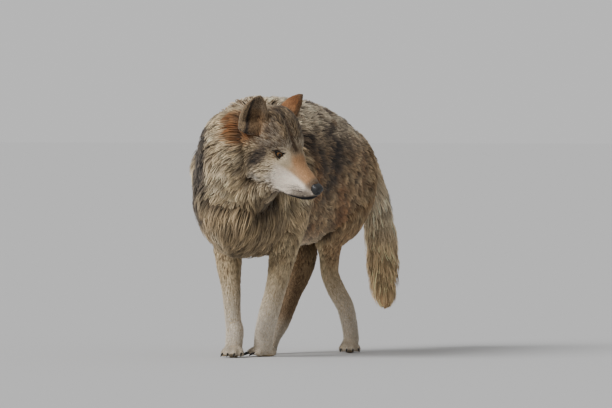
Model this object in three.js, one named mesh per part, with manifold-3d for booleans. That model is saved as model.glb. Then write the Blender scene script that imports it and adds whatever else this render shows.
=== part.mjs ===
// A timber wolf, life size, standing with its weight on four paws and its head turned to its left.
// Millimetres, +Z up. The wolf faces -Y and its left side is +X.
// The solids are the outline of the coat, out to the tips of the hair.
//
// Every limb is a loft: rows of section sizes along a path, smoothed with a spline. A row is
//   [x, y, z, left, right, up, down]
// the section's centre, then its reach to each of four sides. "up" is towards the loft's own
// reference direction (the sky for the body, the wolf's front for the legs).
// Rows are in body coordinates: x to the wolf's left, y to its rear, from a point on the floor
// midway between its elbows.

import * as THREE from 'three';
import { LoftGeometry } from 'three/addons/geometries/LoftGeometry.js';
import { mergeVertices } from 'three/addons/utils/BufferGeometryUtils.js';
import Module from 'manifold-3d';

const wasm = await Module();
wasm.setup();

// ---- Driving dimensions ----

const WITHERS = 782; // floor to the coat on the withers
const CROUP = 710; // floor to the coat on the croup
const BRISKET = 300; // floor to the hair under the chest
const BELLY = 332; // floor to the hair under the loin
const RUMP_Y = 690; // elbows to the back of the rump
const CHEST_HALF = 194; // half the width of the coat at the shoulders
const HIP_HALF = 123; // half the width of the coat at the hips

const EYE_LINE = [229, -203, 619]; // midpoint between the eyes
const HEAD_TURN = 80; // degrees from straight ahead, to the left
const HEAD_DROP = 33; // degrees of the muzzle below level
const HEAD_ROLL = 10; // degrees that the crown leans to the wolf's right
const EYE_OUT = 38; // eye centre from the head's middle plane
const EYE_RADIUS = 13;
const EYE_AIM = 41; // degrees that an eye looks out from straight ahead
const NOSE_REACH = 160; // eye line to the tip of the nose
const CHEEK_HALF = 93; // half the width across the cheek hair
const EAR_HEIGHT = 109;

const SOLE = 0; // the floor
const GAP = 0.4; // clearance at a flat cut between pieces
const SOCKET = 1.5; // clearance round a limb let into another
const ORIGIN = [77, 254]; // middle of the wolf's outline on the floor, in body coordinates

const COLOURS = {
  coat: { color: 0x8f7d68, roughness: 0.95 },
  mane: { color: 0xb09c84, roughness: 0.95 },
  face: { color: 0xa8927a, roughness: 0.9 },
  leg: { color: 0xb7a68f, roughness: 0.95 },
  ear: { color: 0x9a6238, roughness: 0.9 },
  tail: { color: 0xa38a68, roughness: 0.95 },
  nose: { color: 0x141214, roughness: 0.45 },
  eye: { color: 0x7a4a1c, roughness: 0.1 },
};

// ---- Lofts ----

const UP = new THREE.Vector3(0, 0, 1);
const FRONT = new THREE.Vector3(0, -1, 0);

// Catmull-Rom through the rows, for every column at once.
function rowAt(rows, t) {
  const last = rows.length - 1;
  const i = Math.min(Math.floor(t), last - 1);
  const f = t - i;
  const [a, b, c, d] = [i - 1, i, i + 1, i + 2].map((k) => rows[Math.max(0, Math.min(last, k))]);
  return b.map((_, k) => {
    const slopeIn = (c[k] - a[k]) / 2;
    const slopeOut = (d[k] - b[k]) / 2;
    const rise = c[k] - b[k];
    return b[k] + f * (slopeIn + f * (3 * rise - 2 * slopeIn - slopeOut + f * (slopeIn + slopeOut - 2 * rise)));
  });
}

// One closed section: a superellipse whose four reaches differ.
function section(row, tangent, reference, segments, square, scale, grow) {
  const [x, y, z, left, right, up, down] = row;
  const upward = reference.clone().addScaledVector(tangent, -reference.dot(tangent)).normalize();
  const side = upward.clone().cross(tangent);
  return Array.from({ length: segments }, (_, k) => {
    const angle = (2 * Math.PI * k) / segments;
    const c = Math.cos(angle);
    const s = Math.sin(angle);
    const across = Math.sign(c) * Math.abs(c) ** (2 / square) * ((c > 0 ? left : right) * scale + grow);
    const along = Math.sign(s) * Math.abs(s) ** (2 / square) * ((s > 0 ? up : down) * scale + grow);
    return new THREE.Vector3(x, y, z).addScaledVector(side, across).addScaledVector(upward, along);
  });
}

const ROUND = [0.88, 0.5]; // section sizes over a rounded end
const BLUNT = [0.65];

// A solid through the rows, with a rounded end at each side.
function loft(rows, options = {}) {
  const { reference = UP, rings = 12, segments = 14, square = 2, dome = [0.5, 0.5], crown = ROUND, grow = 0 } = options;
  const last = rows.length - 1;
  const centre = (t) => new THREE.Vector3(...rowAt(rows, t).slice(0, 3));
  const tangentAt = (t) => centre(Math.min(t + 0.02, last)).sub(centre(Math.max(t - 0.02, 0))).normalize();
  const sections = [];
  const endCap = (t, outward, share) => {
    const row = rowAt(rows, t);
    const tangent = tangentAt(t);
    const reach = share * Math.min(...row.slice(3)) + grow;
    return crown.map((c) => {
      const moved = new THREE.Vector3(...row).addScaledVector(tangent, outward * reach * Math.sqrt(1 - c * c));
      return section([moved.x, moved.y, moved.z, ...row.slice(3)], tangent, reference, segments, square, c, grow);
    });
  };
  sections.push(...endCap(0, -1, dome[0]).reverse());
  for (let i = 0; i <= rings; i++) {
    const t = (last * i) / rings;
    sections.push(section(rowAt(rows, t), tangentAt(t), reference, segments, square, 1, grow));
  }
  sections.push(...endCap(last, 1, dome[1]));
  return solid(new LoftGeometry(sections, { capStart: true, capEnd: true }));
}

// ---- Solids ----

// A closed three.js geometry as a manifold-3d solid.
function solid(geometry) {
  const plain = new THREE.BufferGeometry().setIndex(geometry.index).setAttribute('position', geometry.attributes.position);
  const merged = mergeVertices(plain, 1e-3);
  return new wasm.Manifold(
    new wasm.Mesh({
      numProp: 3,
      vertProperties: new Float32Array(merged.attributes.position.array),
      triVerts: new Uint32Array(merged.index.array),
    }),
  );
}

const join = (...solids) => solids.reduce((all, one) => all.add(one));

// A cut can leave a loose sliver beside the piece it was made in; this keeps the piece.
const largest = (one) => one.decompose().sort((a, b) => b.volume() - a.volume())[0];

// Everything on the far side of a plane through a point, as a large block.
function beyond(point, normal, offset = 0) {
  const size = 4000;
  const direction = new THREE.Vector3(...normal).normalize();
  const block = new THREE.BoxGeometry(size, size, size);
  const turn = new THREE.Quaternion().setFromUnitVectors(UP, direction);
  const centre = new THREE.Vector3(...point).addScaledVector(direction, size / 2 + offset);
  return solid(block.applyMatrix4(new THREE.Matrix4().compose(centre, turn, new THREE.Vector3(1, 1, 1))));
}

// Parts a solid at a plane, leaving the gap: [near side, far side].
function part(whole, point, normal) {
  const away = normal.map((n) => -n);
  return [
    whole.intersect(beyond(point, away, GAP / 2)),
    whole.intersect(beyond(point, normal, GAP / 2)),
  ];
}

// ---- Trunk and neck: one loft from the rump to the back of the head ----

// [x, y, half width, top, bottom]
const TRUNK_ROWS = [
  [6, RUMP_Y - 22, 64, 646, 425],
  [4, RUMP_Y - 80, 95, CROUP - 22, 378],
  [0, RUMP_Y - 165, HIP_HALF, CROUP, 352],
  [-2, 390, 150, 754, BELLY + 4],
  [-2, 250, 168, WITHERS - 2, BELLY - 6],
  [0, 120, CHEST_HALF - 12, WITHERS, BRISKET + 16],
  [0, 20, CHEST_HALF, WITHERS, BRISKET + 2],
].map(([x, y, side, top, bottom]) => {
  const z = (top + bottom) / 2 + 12;
  return [x, y, z, side, side, top - z, z - bottom];
});

const NECK_ROWS = [
  [0, -60, 566, 168, 152, 204, 262],
  [14, -112, 600, 138, 127, 164, 212],
  [48, -156, 626, 116, 122, 134, 160],
  [90, -180, 644, 104, 120, 120, 130],
  [122, -188, 654, 92, 102, 102, 108],
];

// The long hair from the chin down to the chest, in head coordinates.
const THROAT_ROWS = [
  [0, -18, -98, 36, 36, 26, 26],
  [-2, 14, -112, 54, 54, 40, 50],
  [-6, 54, -136, 72, 72, 56, 88],
  [-10, 102, -166, 88, 88, 70, 120],
  [-14, 150, -200, 96, 96, 80, 140],
];

// ---- Legs: rows run from inside the body down to the pastern ----

// side is 1 for a left leg and -1 for a right one; rows give distances out from the midline.
function legRows(side, rows) {
  return rows.map(([out, y, z, outer, inner, front, back]) => [
    side * out,
    y,
    z,
    side > 0 ? outer : inner,
    side > 0 ? inner : outer,
    front,
    back,
  ]);
}

const LEG_FORM = { reference: FRONT, rings: 12, segments: 12, dome: [0.9, 0.5], crown: [0.8, 0.4] };

// [out, y, z, outer, inner, front, back]
const SHOULDER = [
  [84, 30, 650, 58, 48, 68, 68],
  [104, 0, 560, 88, 60, 94, 104],
  [108, 10, 470, 76, 56, 82, 86],
];

const FORE_LEG_RIGHT = legRows(-1, [
  ...SHOULDER,
  [103, 26, 400, 52, 52, 56, 62],
  [95, 18, 335, 44, 44, 44, 48],
  [85, 9, 265, 37, 37, 36, 38],
  [75, 3, 200, 29, 29, 29, 30],
  [70, 0, 145, 25, 26, 27, 28],
  [67, 0, 108, 24, 25, 26, 27],
  [60, -4, 80, 27, 29, 27, 28],
  [57, -14, 34, 26, 27, 27, 26],
]);

const FORE_LEG_LEFT = legRows(1, [
  ...SHOULDER,
  [104, 28, 400, 52, 52, 56, 62],
  [98, 16, 335, 44, 44, 44, 48],
  [88, 8, 262, 35, 36, 37, 39],
  [75, 2, 200, 31, 31, 33, 34],
  [55, 8, 145, 31, 31, 34, 32],
  [33, 31, 108, 29, 31, 33, 31],
  [12, 55, 76, 29, 31, 32, 30],
  [-1, 71, 34, 28, 30, 31, 28],
]);

const HIND_LEG_LEFT = legRows(1, [
  [58, RUMP_Y - 140, 620, 52, 50, 80, 74],
  [66, RUMP_Y - 160, 545, 60, 56, 116, 108],
  [74, RUMP_Y - 210, 455, 50, 50, 122, 96],
  [72, RUMP_Y - 247, 410, 46, 46, 108, 82],
  [62, RUMP_Y - 282, 372, 38, 40, 80, 64],
  [44, RUMP_Y - 270, 335, 31, 33, 56, 50],
  [32, RUMP_Y - 254, 296, 26, 28, 42, 42],
  [26, RUMP_Y - 243, 242, 24, 25, 35, 40],
  [42, RUMP_Y - 233, 192, 25, 26, 33, 42],
  [64, RUMP_Y - 220, 145, 25, 25, 31, 38],
  [74, RUMP_Y - 214, 105, 25, 25, 29, 31],
  [80, RUMP_Y - 210, 66, 24, 24, 26, 27],
  [83, RUMP_Y - 209, 34, 25, 25, 25, 25],
]);

const HIND_LEG_RIGHT = legRows(-1, [
  [58, RUMP_Y - 140, 620, 52, 50, 80, 74],
  [66, RUMP_Y - 168, 545, 60, 56, 112, 108],
  [74, RUMP_Y - 236, 452, 50, 50, 98, 96],
  [74, RUMP_Y - 270, 375, 46, 46, 84, 92],
  [66, RUMP_Y - 262, 305, 40, 42, 62, 76],
  [68, RUMP_Y - 270, 244, 33, 33, 48, 56],
  [74, RUMP_Y - 297, 193, 28, 28, 35, 41],
  [78, RUMP_Y - 322, 147, 26, 26, 30, 33],
  [80, RUMP_Y - 358, 96, 25, 25, 28, 29],
  [82, RUMP_Y - 406, 58, 26, 26, 27, 27],
  [83, RUMP_Y - 424, 34, 26, 26, 25, 25],
]);

// ---- Paws ----

// A paw stands at the end of a leg: a pad under the wrist and four toes, each with a claw.
// heading is degrees from straight ahead, positive to the wolf's left.
function paw([x, y], heading, size) {
  const turn = new THREE.Matrix4().makeRotationZ(THREE.MathUtils.degToRad(heading));
  const place = new THREE.Matrix4().makeTranslation(x, y, SOLE).multiply(turn);
  const local = (rows) => rows.map(([a, b, c, ...reach]) => [a * size, b * size, c * size, ...reach.map((r) => r * size)]);
  const toes = [];
  for (const side of [-1, 1]) {
    for (const [out, reach, splay, height] of [[10.5, 62, 1.5, 24], [27, 46, 7, 21]]) {
      const toe = local([
        [side * out * 0.72, 6, height + 16, 12, 12, 15, 18],
        [side * out * 0.9, -20, height + 6, 13, 13, 15, 20],
        [side * (out + splay * 0.5), -reach + 16, height - 2, 13, 13, 14, 19],
        [side * (out + splay), -reach, height - 8, 10, 10, 10, 12],
      ]);
      const claw = local([
        [side * (out + splay), -reach - 4, 14, 4, 4, 4, 4.5],
        [side * (out + splay * 1.3), -reach - 15, 11, 3, 3, 3.2, 3.6],
        [side * (out + splay * 1.5), -reach - 24, 5, 1.2, 1.2, 1.3, 1.4],
      ]);
      toes.push(loft(toe, { rings: 2, segments: 6, dome: [0.6, 0.7], crown: BLUNT }));
      toes.push(loft(claw, { rings: 1, segments: 4, dome: [0.2, 0.6], crown: BLUNT }));
    }
  }
  const pad = local([
    [0, 26, 16, 20, 20, 18, 18],
    [0, 6, 20, 27, 27, 24, 24],
    [0, -18, 20, 26, 26, 20, 24],
    [0, -34, 18, 20, 20, 14, 20],
  ]);
  return join(loft(pad, { rings: 3, segments: 10, dome: [0.9, 0.3], crown: BLUNT }), ...toes).transform(place.toArray());
}

// Joins a leg to its paw, rests it on the floor and parts the two at the wrist.
function legAndPaw(rows, pawSolid) {
  const whole = join(loft(rows, LEG_FORM), pawSolid).intersect(beyond([0, 0, SOLE], [0, 0, 1]));
  return part(whole, [0, 0, 52], [0, 0, -1]);
}

// ---- Head: rows in head coordinates ----

// Head coordinates have their origin between the eyes: x to the wolf's left, y to the back of the
// head, z up square to the muzzle. This matrix sets the head on the neck.
function headPlace() {
  const turn = new THREE.Matrix4().makeRotationZ(THREE.MathUtils.degToRad(HEAD_TURN));
  const drop = new THREE.Matrix4().makeRotationX(THREE.MathUtils.degToRad(HEAD_DROP));
  const roll = new THREE.Matrix4().makeRotationY(THREE.MathUtils.degToRad(-HEAD_ROLL));
  return new THREE.Matrix4().makeTranslation(...EYE_LINE).multiply(turn).multiply(drop).multiply(roll);
}

const HEAD = headPlace();
const toBody = (one) => one.transform(HEAD.toArray());

// [distance ahead of the eyes, half width, top, bottom, level of the widest part]
const HEAD_ROWS = [
  [NOSE_REACH - 10, 14, -27, -70, -49],
  [NOSE_REACH - 22, 21, -20, -86, -50],
  [118, 27, -13, -99, -50],
  [88, 31, -6, -111, -51],
  [58, 36, 2, -120, -51],
  [32, 45, 14, -126, -47],
  [8, 57, 30, -126, -40],
  [-16, 69, 56, -126, -34],
  [-46, 81, 83, -126, -28],
  [-82, CHEEK_HALF - 2, 104, -122, -22],
  [-116, CHEEK_HALF, 107, -110, -16],
  [-146, 80, 95, -92, -6],
].map(([ahead, half, top, bottom, level]) => [0, -ahead, level, half, half, top - level, level - bottom]);

const MOUTH_CORNER = [38, -110]; // ahead of the eyes, above them
const MOUTH_FRONT = [154, -66];

function headSolid(grow = 0) {
  return toBody(loft(HEAD_ROWS, { rings: 14, segments: 16, square: 2.7, dome: [0.5, 0.35], grow }));
}

// The lower jaw is what lies below the mouth line and ahead of its corner.
function partJaw(head) {
  const corner = new THREE.Vector3(0, -MOUTH_CORNER[0], MOUTH_CORNER[1]);
  const line = new THREE.Vector3(0, -MOUTH_FRONT[0], MOUTH_FRONT[1]).sub(corner).normalize();
  const below = new THREE.Vector3(0, -line.z, line.y).transformDirection(HEAD);
  const ahead = line.transformDirection(HEAD);
  const start = corner.applyMatrix4(HEAD);
  const region = (inset) => beyond(start, below, inset).intersect(beyond(start, ahead, inset));
  return [head.subtract(region(-GAP / 2)), head.intersect(region(GAP / 2))];
}

const EYE_PLACE = (side) => [side * EYE_OUT, 0, 3];

function eyeBall(side, grow = 0) {
  const ball = new THREE.SphereGeometry(EYE_RADIUS + grow, 8, 6);
  ball.applyMatrix4(new THREE.Matrix4().makeTranslation(...EYE_PLACE(side)));
  return toBody(solid(ball));
}

// The hollow in the coat that the eye looks out of, widening along the gaze.
function eyeHollow(side) {
  const aim = THREE.MathUtils.degToRad(EYE_AIM);
  const gaze = new THREE.Vector3(side * Math.sin(aim), -Math.cos(aim), 0.05).normalize();
  const cone = new THREE.CylinderGeometry(24, 11, 36, 8);
  const turn = new THREE.Quaternion().setFromUnitVectors(new THREE.Vector3(0, 1, 0), gaze);
  const middle = new THREE.Vector3(...EYE_PLACE(side)).addScaledVector(gaze, 22);
  cone.applyMatrix4(new THREE.Matrix4().compose(middle, turn, new THREE.Vector3(1, 1, 1)));
  return toBody(solid(cone));
}

function nosePad(grow = 0) {
  const rows = [
    [0, -NOSE_REACH + 28, -36, 14, 14, 13, 16],
    [0, -NOSE_REACH + 14, -38, 18, 18, 16, 18],
    [0, -NOSE_REACH + 5, -38, 16, 16, 13, 15],
  ];
  return toBody(loft(rows, { rings: 3, segments: 10, square: 2.3, dome: [0.2, 0.4], crown: BLUNT, grow }));
}

// ---- Ears: a leaf-shaped shell, hollowed from the front ----

// side is 1 for the left ear and -1 for the right one; lean, tilt and yaw are degrees outward, back
// and round to the side.
const EARS = {
  ear_left: { side: 1, root: [58, 96, 27], lean: 20, tilt: 0, yaw: 74 },
  ear_right: { side: -1, root: [79, 97, 38], lean: 9, tilt: 5, yaw: 45 },
};

function earPlace({ side, root: [out, back, up], lean, tilt, yaw }) {
  const leaning = new THREE.Matrix4().makeRotationY(THREE.MathUtils.degToRad(side * lean));
  const tilting = new THREE.Matrix4().makeRotationX(THREE.MathUtils.degToRad(-tilt));
  const facing = new THREE.Matrix4().makeRotationZ(THREE.MathUtils.degToRad(side * yaw));
  const root = new THREE.Matrix4().makeTranslation(side * out, back, up);
  return HEAD.clone().multiply(root).multiply(leaning).multiply(tilting).multiply(facing);
}

const EAR_FORM = { reference: FRONT, rings: 6, segments: 10, dome: [0.2, 0.6], crown: BLUNT };

// [height, y, half width, front, back]
const EAR_SHELL = [
  [-14, 0, 38, 23, 23],
  [20, 2, 41, 21, 24],
  [49, 4, 38, 18, 20],
  [76, 5, 29, 13, 15],
  [95, 5, 17, 8, 9],
  [EAR_HEIGHT, 5, 5, 3.5, 3.5],
];
const EAR_HOLLOW = [
  [22, -16, 26, 14, 22],
  [46, -15, 28, 14, 24],
  [68, -12, 22, 12, 19],
  [90, -7, 9, 8, 10],
];

// The tip of an ear leans in towards the crown.
const earRows = (rows, side) =>
  rows.map(([height, y, half, front, back]) => [-9 * side * Math.max(height / EAR_HEIGHT, 0) ** 3, y, height, half, half, front, back]);
const earLoft = (rows, ear, grow = 0) =>
  loft(earRows(rows, ear.side), { ...EAR_FORM, grow }).transform(earPlace(ear).toArray());

// ---- Tail ----

const TAIL_ROWS = [
  [8, RUMP_Y - 26, 612, 36, 36, 36, 36],
  [12, RUMP_Y + 24, 570, 44, 42, 44, 42],
  [18, RUMP_Y + 62, 488, 52, 48, 50, 46],
  [25, RUMP_Y + 80, 400, 58, 52, 54, 50],
  [32, RUMP_Y + 86, 310, 58, 52, 52, 50],
  [40, RUMP_Y + 84, 222, 47, 42, 44, 42],
  [50, RUMP_Y + 80, 160, 30, 28, 30, 28],
];
const TAIL_FORM = { reference: FRONT, rings: 12, segments: 12, dome: [0.8, 1.0] };

// ---- Assembly ----

function meshOf(name, one, colour) {
  const made = largest(one).getMesh();
  const geometry = new THREE.BufferGeometry()
    .setAttribute('position', new THREE.BufferAttribute(new Float32Array(made.vertProperties), 3))
    .setIndex(new THREE.BufferAttribute(new Uint32Array(made.triVerts), 1));
  geometry.computeVertexNormals();
  const mesh = new THREE.Mesh(geometry, new THREE.MeshStandardMaterial({ ...COLOURS[colour], metalness: 0 }));
  mesh.name = name;
  return mesh;
}

const wolf = new THREE.Group();
wolf.position.set(-ORIGIN[0], -ORIGIN[1], 0);
const add = (name, one, colour) => wolf.add(meshOf(name, one, colour));

const LEGS = {
  foreleg_right: [FORE_LEG_RIGHT, [-55, -18], 20, 0.82, 'forepaw_right'],
  foreleg_left: [FORE_LEG_LEFT, [0, 82], -50, 0.82, 'forepaw_left'],
  hindleg_left: [HIND_LEG_LEFT, [81, RUMP_Y - 217], 28, 0.78, 'hindpaw_left'],
  hindleg_right: [HIND_LEG_RIGHT, [-83, RUMP_Y - 430], 0, 0.78, 'hindpaw_right'],
};

const spine = loft([...TRUNK_ROWS, ...NECK_ROWS], { rings: 20, segments: 18, square: 2.1, dome: [0.75, 0.4] });
const throat = toBody(loft(THROAT_ROWS, { rings: 8, segments: 12, square: 2.1, dome: [0.6, 0.4] }));
let [neck, trunk] = part(join(spine, throat), [0, -92, 600], [-0.26, 1, -0.36]);

for (const [name, [rows, spot, heading, size, pawName]] of Object.entries(LEGS)) {
  const [leg, foot] = legAndPaw(rows, paw(spot, heading, size));
  const socket = loft(rows, { ...LEG_FORM, grow: SOCKET });
  trunk = trunk.subtract(socket);
  neck = neck.subtract(socket);
  add(name, leg, 'leg');
  add(pawName, foot, 'leg');
}

trunk = trunk.subtract(loft(TAIL_ROWS, { ...TAIL_FORM, grow: SOCKET }));
add('tail', loft(TAIL_ROWS, TAIL_FORM), 'tail');
add('trunk', trunk, 'coat');

neck = neck.subtract(headSolid(SOCKET));
for (const [name, ear] of Object.entries(EARS)) {
  neck = neck.subtract(earLoft(EAR_SHELL, ear, SOCKET));
  add(name, earLoft(EAR_SHELL, ear).subtract(earLoft(EAR_HOLLOW, ear)).subtract(headSolid(SOCKET)), 'ear');
}
add('neck', neck, 'mane');

let face = headSolid().subtract(nosePad(SOCKET));
for (const side of [1, -1]) {
  face = face.subtract(eyeBall(side, SOCKET)).subtract(eyeHollow(side));
}
const [skull, jaw] = partJaw(face);
add('head', skull, 'face');
add('lower_jaw', jaw, 'face');
add('nose', nosePad(), 'nose');
add('eye_left', eyeBall(1), 'eye');
add('eye_right', eyeBall(-1), 'eye');

export default wolf;
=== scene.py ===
"""A life-size timber wolf in mid-stride, its head lowered and turned to its left.

The wolf is made in body coordinates, in millimetres: x to its left, y to its rear and z up, from a
point on the floor midway between its elbows. ROW_ORIGIN carries those into the shared frame.

One skin is lofted from the same rows of section sizes as the solids, less the depth of the coat.
The coat is then grown over it as closed tufts of mesh that follow the lie of the hair. The markings,
with some painted shade and highlights among them, are functions of the place on the body, used by the
skin and the coat alike.
"""

import sys
import logging
import math
from dataclasses import dataclass, field, fields
from enum import Enum

import bmesh
import bpy
import numpy as np
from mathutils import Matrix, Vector
from mathutils.kdtree import KDTree


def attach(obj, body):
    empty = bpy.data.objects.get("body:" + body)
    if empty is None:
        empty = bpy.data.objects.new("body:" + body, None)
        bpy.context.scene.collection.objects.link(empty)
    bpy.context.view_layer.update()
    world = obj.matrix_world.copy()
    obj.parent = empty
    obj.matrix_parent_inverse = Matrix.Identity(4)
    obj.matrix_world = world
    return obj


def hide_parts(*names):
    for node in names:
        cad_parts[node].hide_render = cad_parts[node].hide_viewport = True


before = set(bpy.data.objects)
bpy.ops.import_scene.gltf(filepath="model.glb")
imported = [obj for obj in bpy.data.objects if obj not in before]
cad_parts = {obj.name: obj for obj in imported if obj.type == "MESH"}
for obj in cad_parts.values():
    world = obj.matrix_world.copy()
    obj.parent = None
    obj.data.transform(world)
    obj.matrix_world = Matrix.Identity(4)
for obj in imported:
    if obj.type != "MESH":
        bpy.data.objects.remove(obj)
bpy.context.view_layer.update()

log = logging.getLogger("wolf")

MM = 0.001
ROW_ORIGIN = np.array([77.0, 254.0, 0.0])  # body coordinates of the frame's origin
SEED = 11

EYE_LINE = (229.0, -203.0, 619.0)  # midpoint between the eyes
HEAD_TURN = 80.0  # degrees to the left of straight ahead
HEAD_DROP = 33.0  # degrees of the muzzle below level
HEAD_ROLL = -10.0  # degrees that the crown leans to its left; negative leans to its right

UP = (0.0, 0.0, 1.0)
LID_REACH = 24.0  # how far from an eyeball's centre its lids are marked and bare, in mm
TUFT_PATCH = 0.003  # size of a tuft's patch on the unwrap
STRAND_ROWS = 50.0  # spread of the tufts over the pattern of hair streaks
CELL_PRIMES = (73856093, 19349663, 83492791)  # mix a cell's three indices into one key


# ---- Small mathematics ----


def unit(vectors: np.ndarray) -> np.ndarray:
    """Scales the vectors along the last axis to length one. A zero vector stays zero."""
    size = np.linalg.norm(vectors, axis=-1, keepdims=True)
    return vectors / np.maximum(size, 1e-12)


def smooth(low: float, high: float, value: np.ndarray) -> np.ndarray:
    """Ramps from 0 at low to 1 at high, which may be below low: 3t^2 - 2t^3."""
    t = np.clip((value - low) / (high - low), 0.0, 1.0)
    return t * t * (3.0 - 2.0 * t)


def bump(value: np.ndarray, centre: float, width: float) -> np.ndarray:
    """A bell curve of height 1: exp(-((value - centre) / width)^2)."""
    return np.exp(-(((value - centre) / width) ** 2))


def blob(*axes: tuple[np.ndarray, float, float]) -> np.ndarray:
    """A rounded patch of height 1, exp(-sum(((value - centre) / width)^2)), from those three by axis."""
    return np.exp(-sum(((value - centre) / width) ** 2 for value, centre, width in axes))


def along(normals: np.ndarray, vectors: np.ndarray) -> np.ndarray:
    """Lays vectors in the surface: each loses its part along the normal and is made unit."""
    return unit(vectors - normals * np.sum(vectors * normals, axis=1, keepdims=True))


def turn(axis: str, degrees: float) -> np.ndarray:
    """A rotation about one axis.

    Args:
        axis: "x", "y" or "z".
        degrees: the angle, right-handed.

    Returns:
        A 3 by 3 matrix.
    """
    c, s = math.cos(math.radians(degrees)), math.sin(math.radians(degrees))
    return {
        "x": np.array([[1, 0, 0], [0, c, -s], [0, s, c]]),
        "y": np.array([[c, 0, s], [0, 1, 0], [-s, 0, c]]),
        "z": np.array([[c, -s, 0], [s, c, 0], [0, 0, 1]]),
    }[axis]


def waves(
    points: np.ndarray, length: float, seed: int, stretch: tuple[float, float, float] = (1, 1, 1)
) -> np.ndarray:
    """Smooth noise: the sum of eight plane waves of random direction and phase.

    Args:
        points: where to evaluate it, in mm.
        length: the wavelength in mm.
        seed: picks the directions and phases.
        stretch: how much longer the noise is along each axis.

    Returns:
        Values of about -1 to 1.
    """
    random = np.random.default_rng(seed)
    pace = 2.0 * math.pi / length
    directions = unit(random.normal(size=(8, 3))) * pace * random.uniform(0.6, 1.5, (8, 1))
    phases = random.uniform(0.0, 2.0 * math.pi, 8)
    return np.sin((points / np.array(stretch)) @ directions.T + phases).sum(axis=1) / 2.8


def tree_of(points: np.ndarray) -> KDTree:
    """Puts points in a tree that finds the nearest of them.

    Args:
        points: the points.

    Returns:
        The tree.
    """
    tree = KDTree(len(points))
    for k, point in enumerate(points.tolist()):
        tree.insert(point, k)
    tree.balance()
    return tree


def one_per_cell(points: np.ndarray, size: float | np.ndarray) -> np.ndarray:
    """Picks the index of one point in each cell of a cubic grid, of one size or of a column of them."""
    cells = np.floor(points / size).astype(np.int64) * CELL_PRIMES
    return np.unique(cells[:, 0] ^ cells[:, 1] ^ cells[:, 2], return_index=True)[1]


def blend(values: np.ndarray, corners: np.ndarray, weights: np.ndarray) -> np.ndarray:
    """Weighs a mesh's values at the corners of triangles, given as three point indices in each row."""
    return (values[corners] * weights.reshape(weights.shape + (1,) * (values.ndim - 1))).sum(axis=1)


@dataclass(frozen=True)
class Place:
    """A rigid placement.

    Attributes:
        turn: a 3 by 3 rotation.
        shift: where its origin goes, in mm.
    """

    turn: np.ndarray
    shift: np.ndarray

    def out(self, points: np.ndarray) -> np.ndarray:
        """Takes local points to body coordinates."""
        return points @ self.turn.T + self.shift

    def back(self, points: np.ndarray) -> np.ndarray:
        """Takes points in body coordinates to local ones."""
        return (points - self.shift) @ self.turn

    def inside(self, other: "Place") -> "Place":
        """Takes a placement given in this one's coordinates to body coordinates."""
        return Place(self.turn @ other.turn, self.out(other.shift))


BODY = Place(np.eye(3), np.zeros(3))
HEAD = Place(turn("z", HEAD_TURN) @ turn("x", HEAD_DROP) @ turn("y", HEAD_ROLL), np.array(EYE_LINE))


# ---- Lofts ----


class Region(Enum):
    """Where on the wolf a loft belongs."""

    SPINE = 0
    HEAD = 1
    TAIL = 2
    LEG = 3
    PAW = 4


@dataclass(frozen=True)
class Samples:
    """Points on a loft's surface.

    Attributes:
        points: ring by segment by 3, in body coordinates.
        tangents: ring by 3, the direction of the loft's path.
        coat: depth of the coat for each ring.
        hair: length of the hair for each ring.
    """

    points: np.ndarray
    tangents: np.ndarray
    coat: np.ndarray
    hair: np.ndarray


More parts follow.
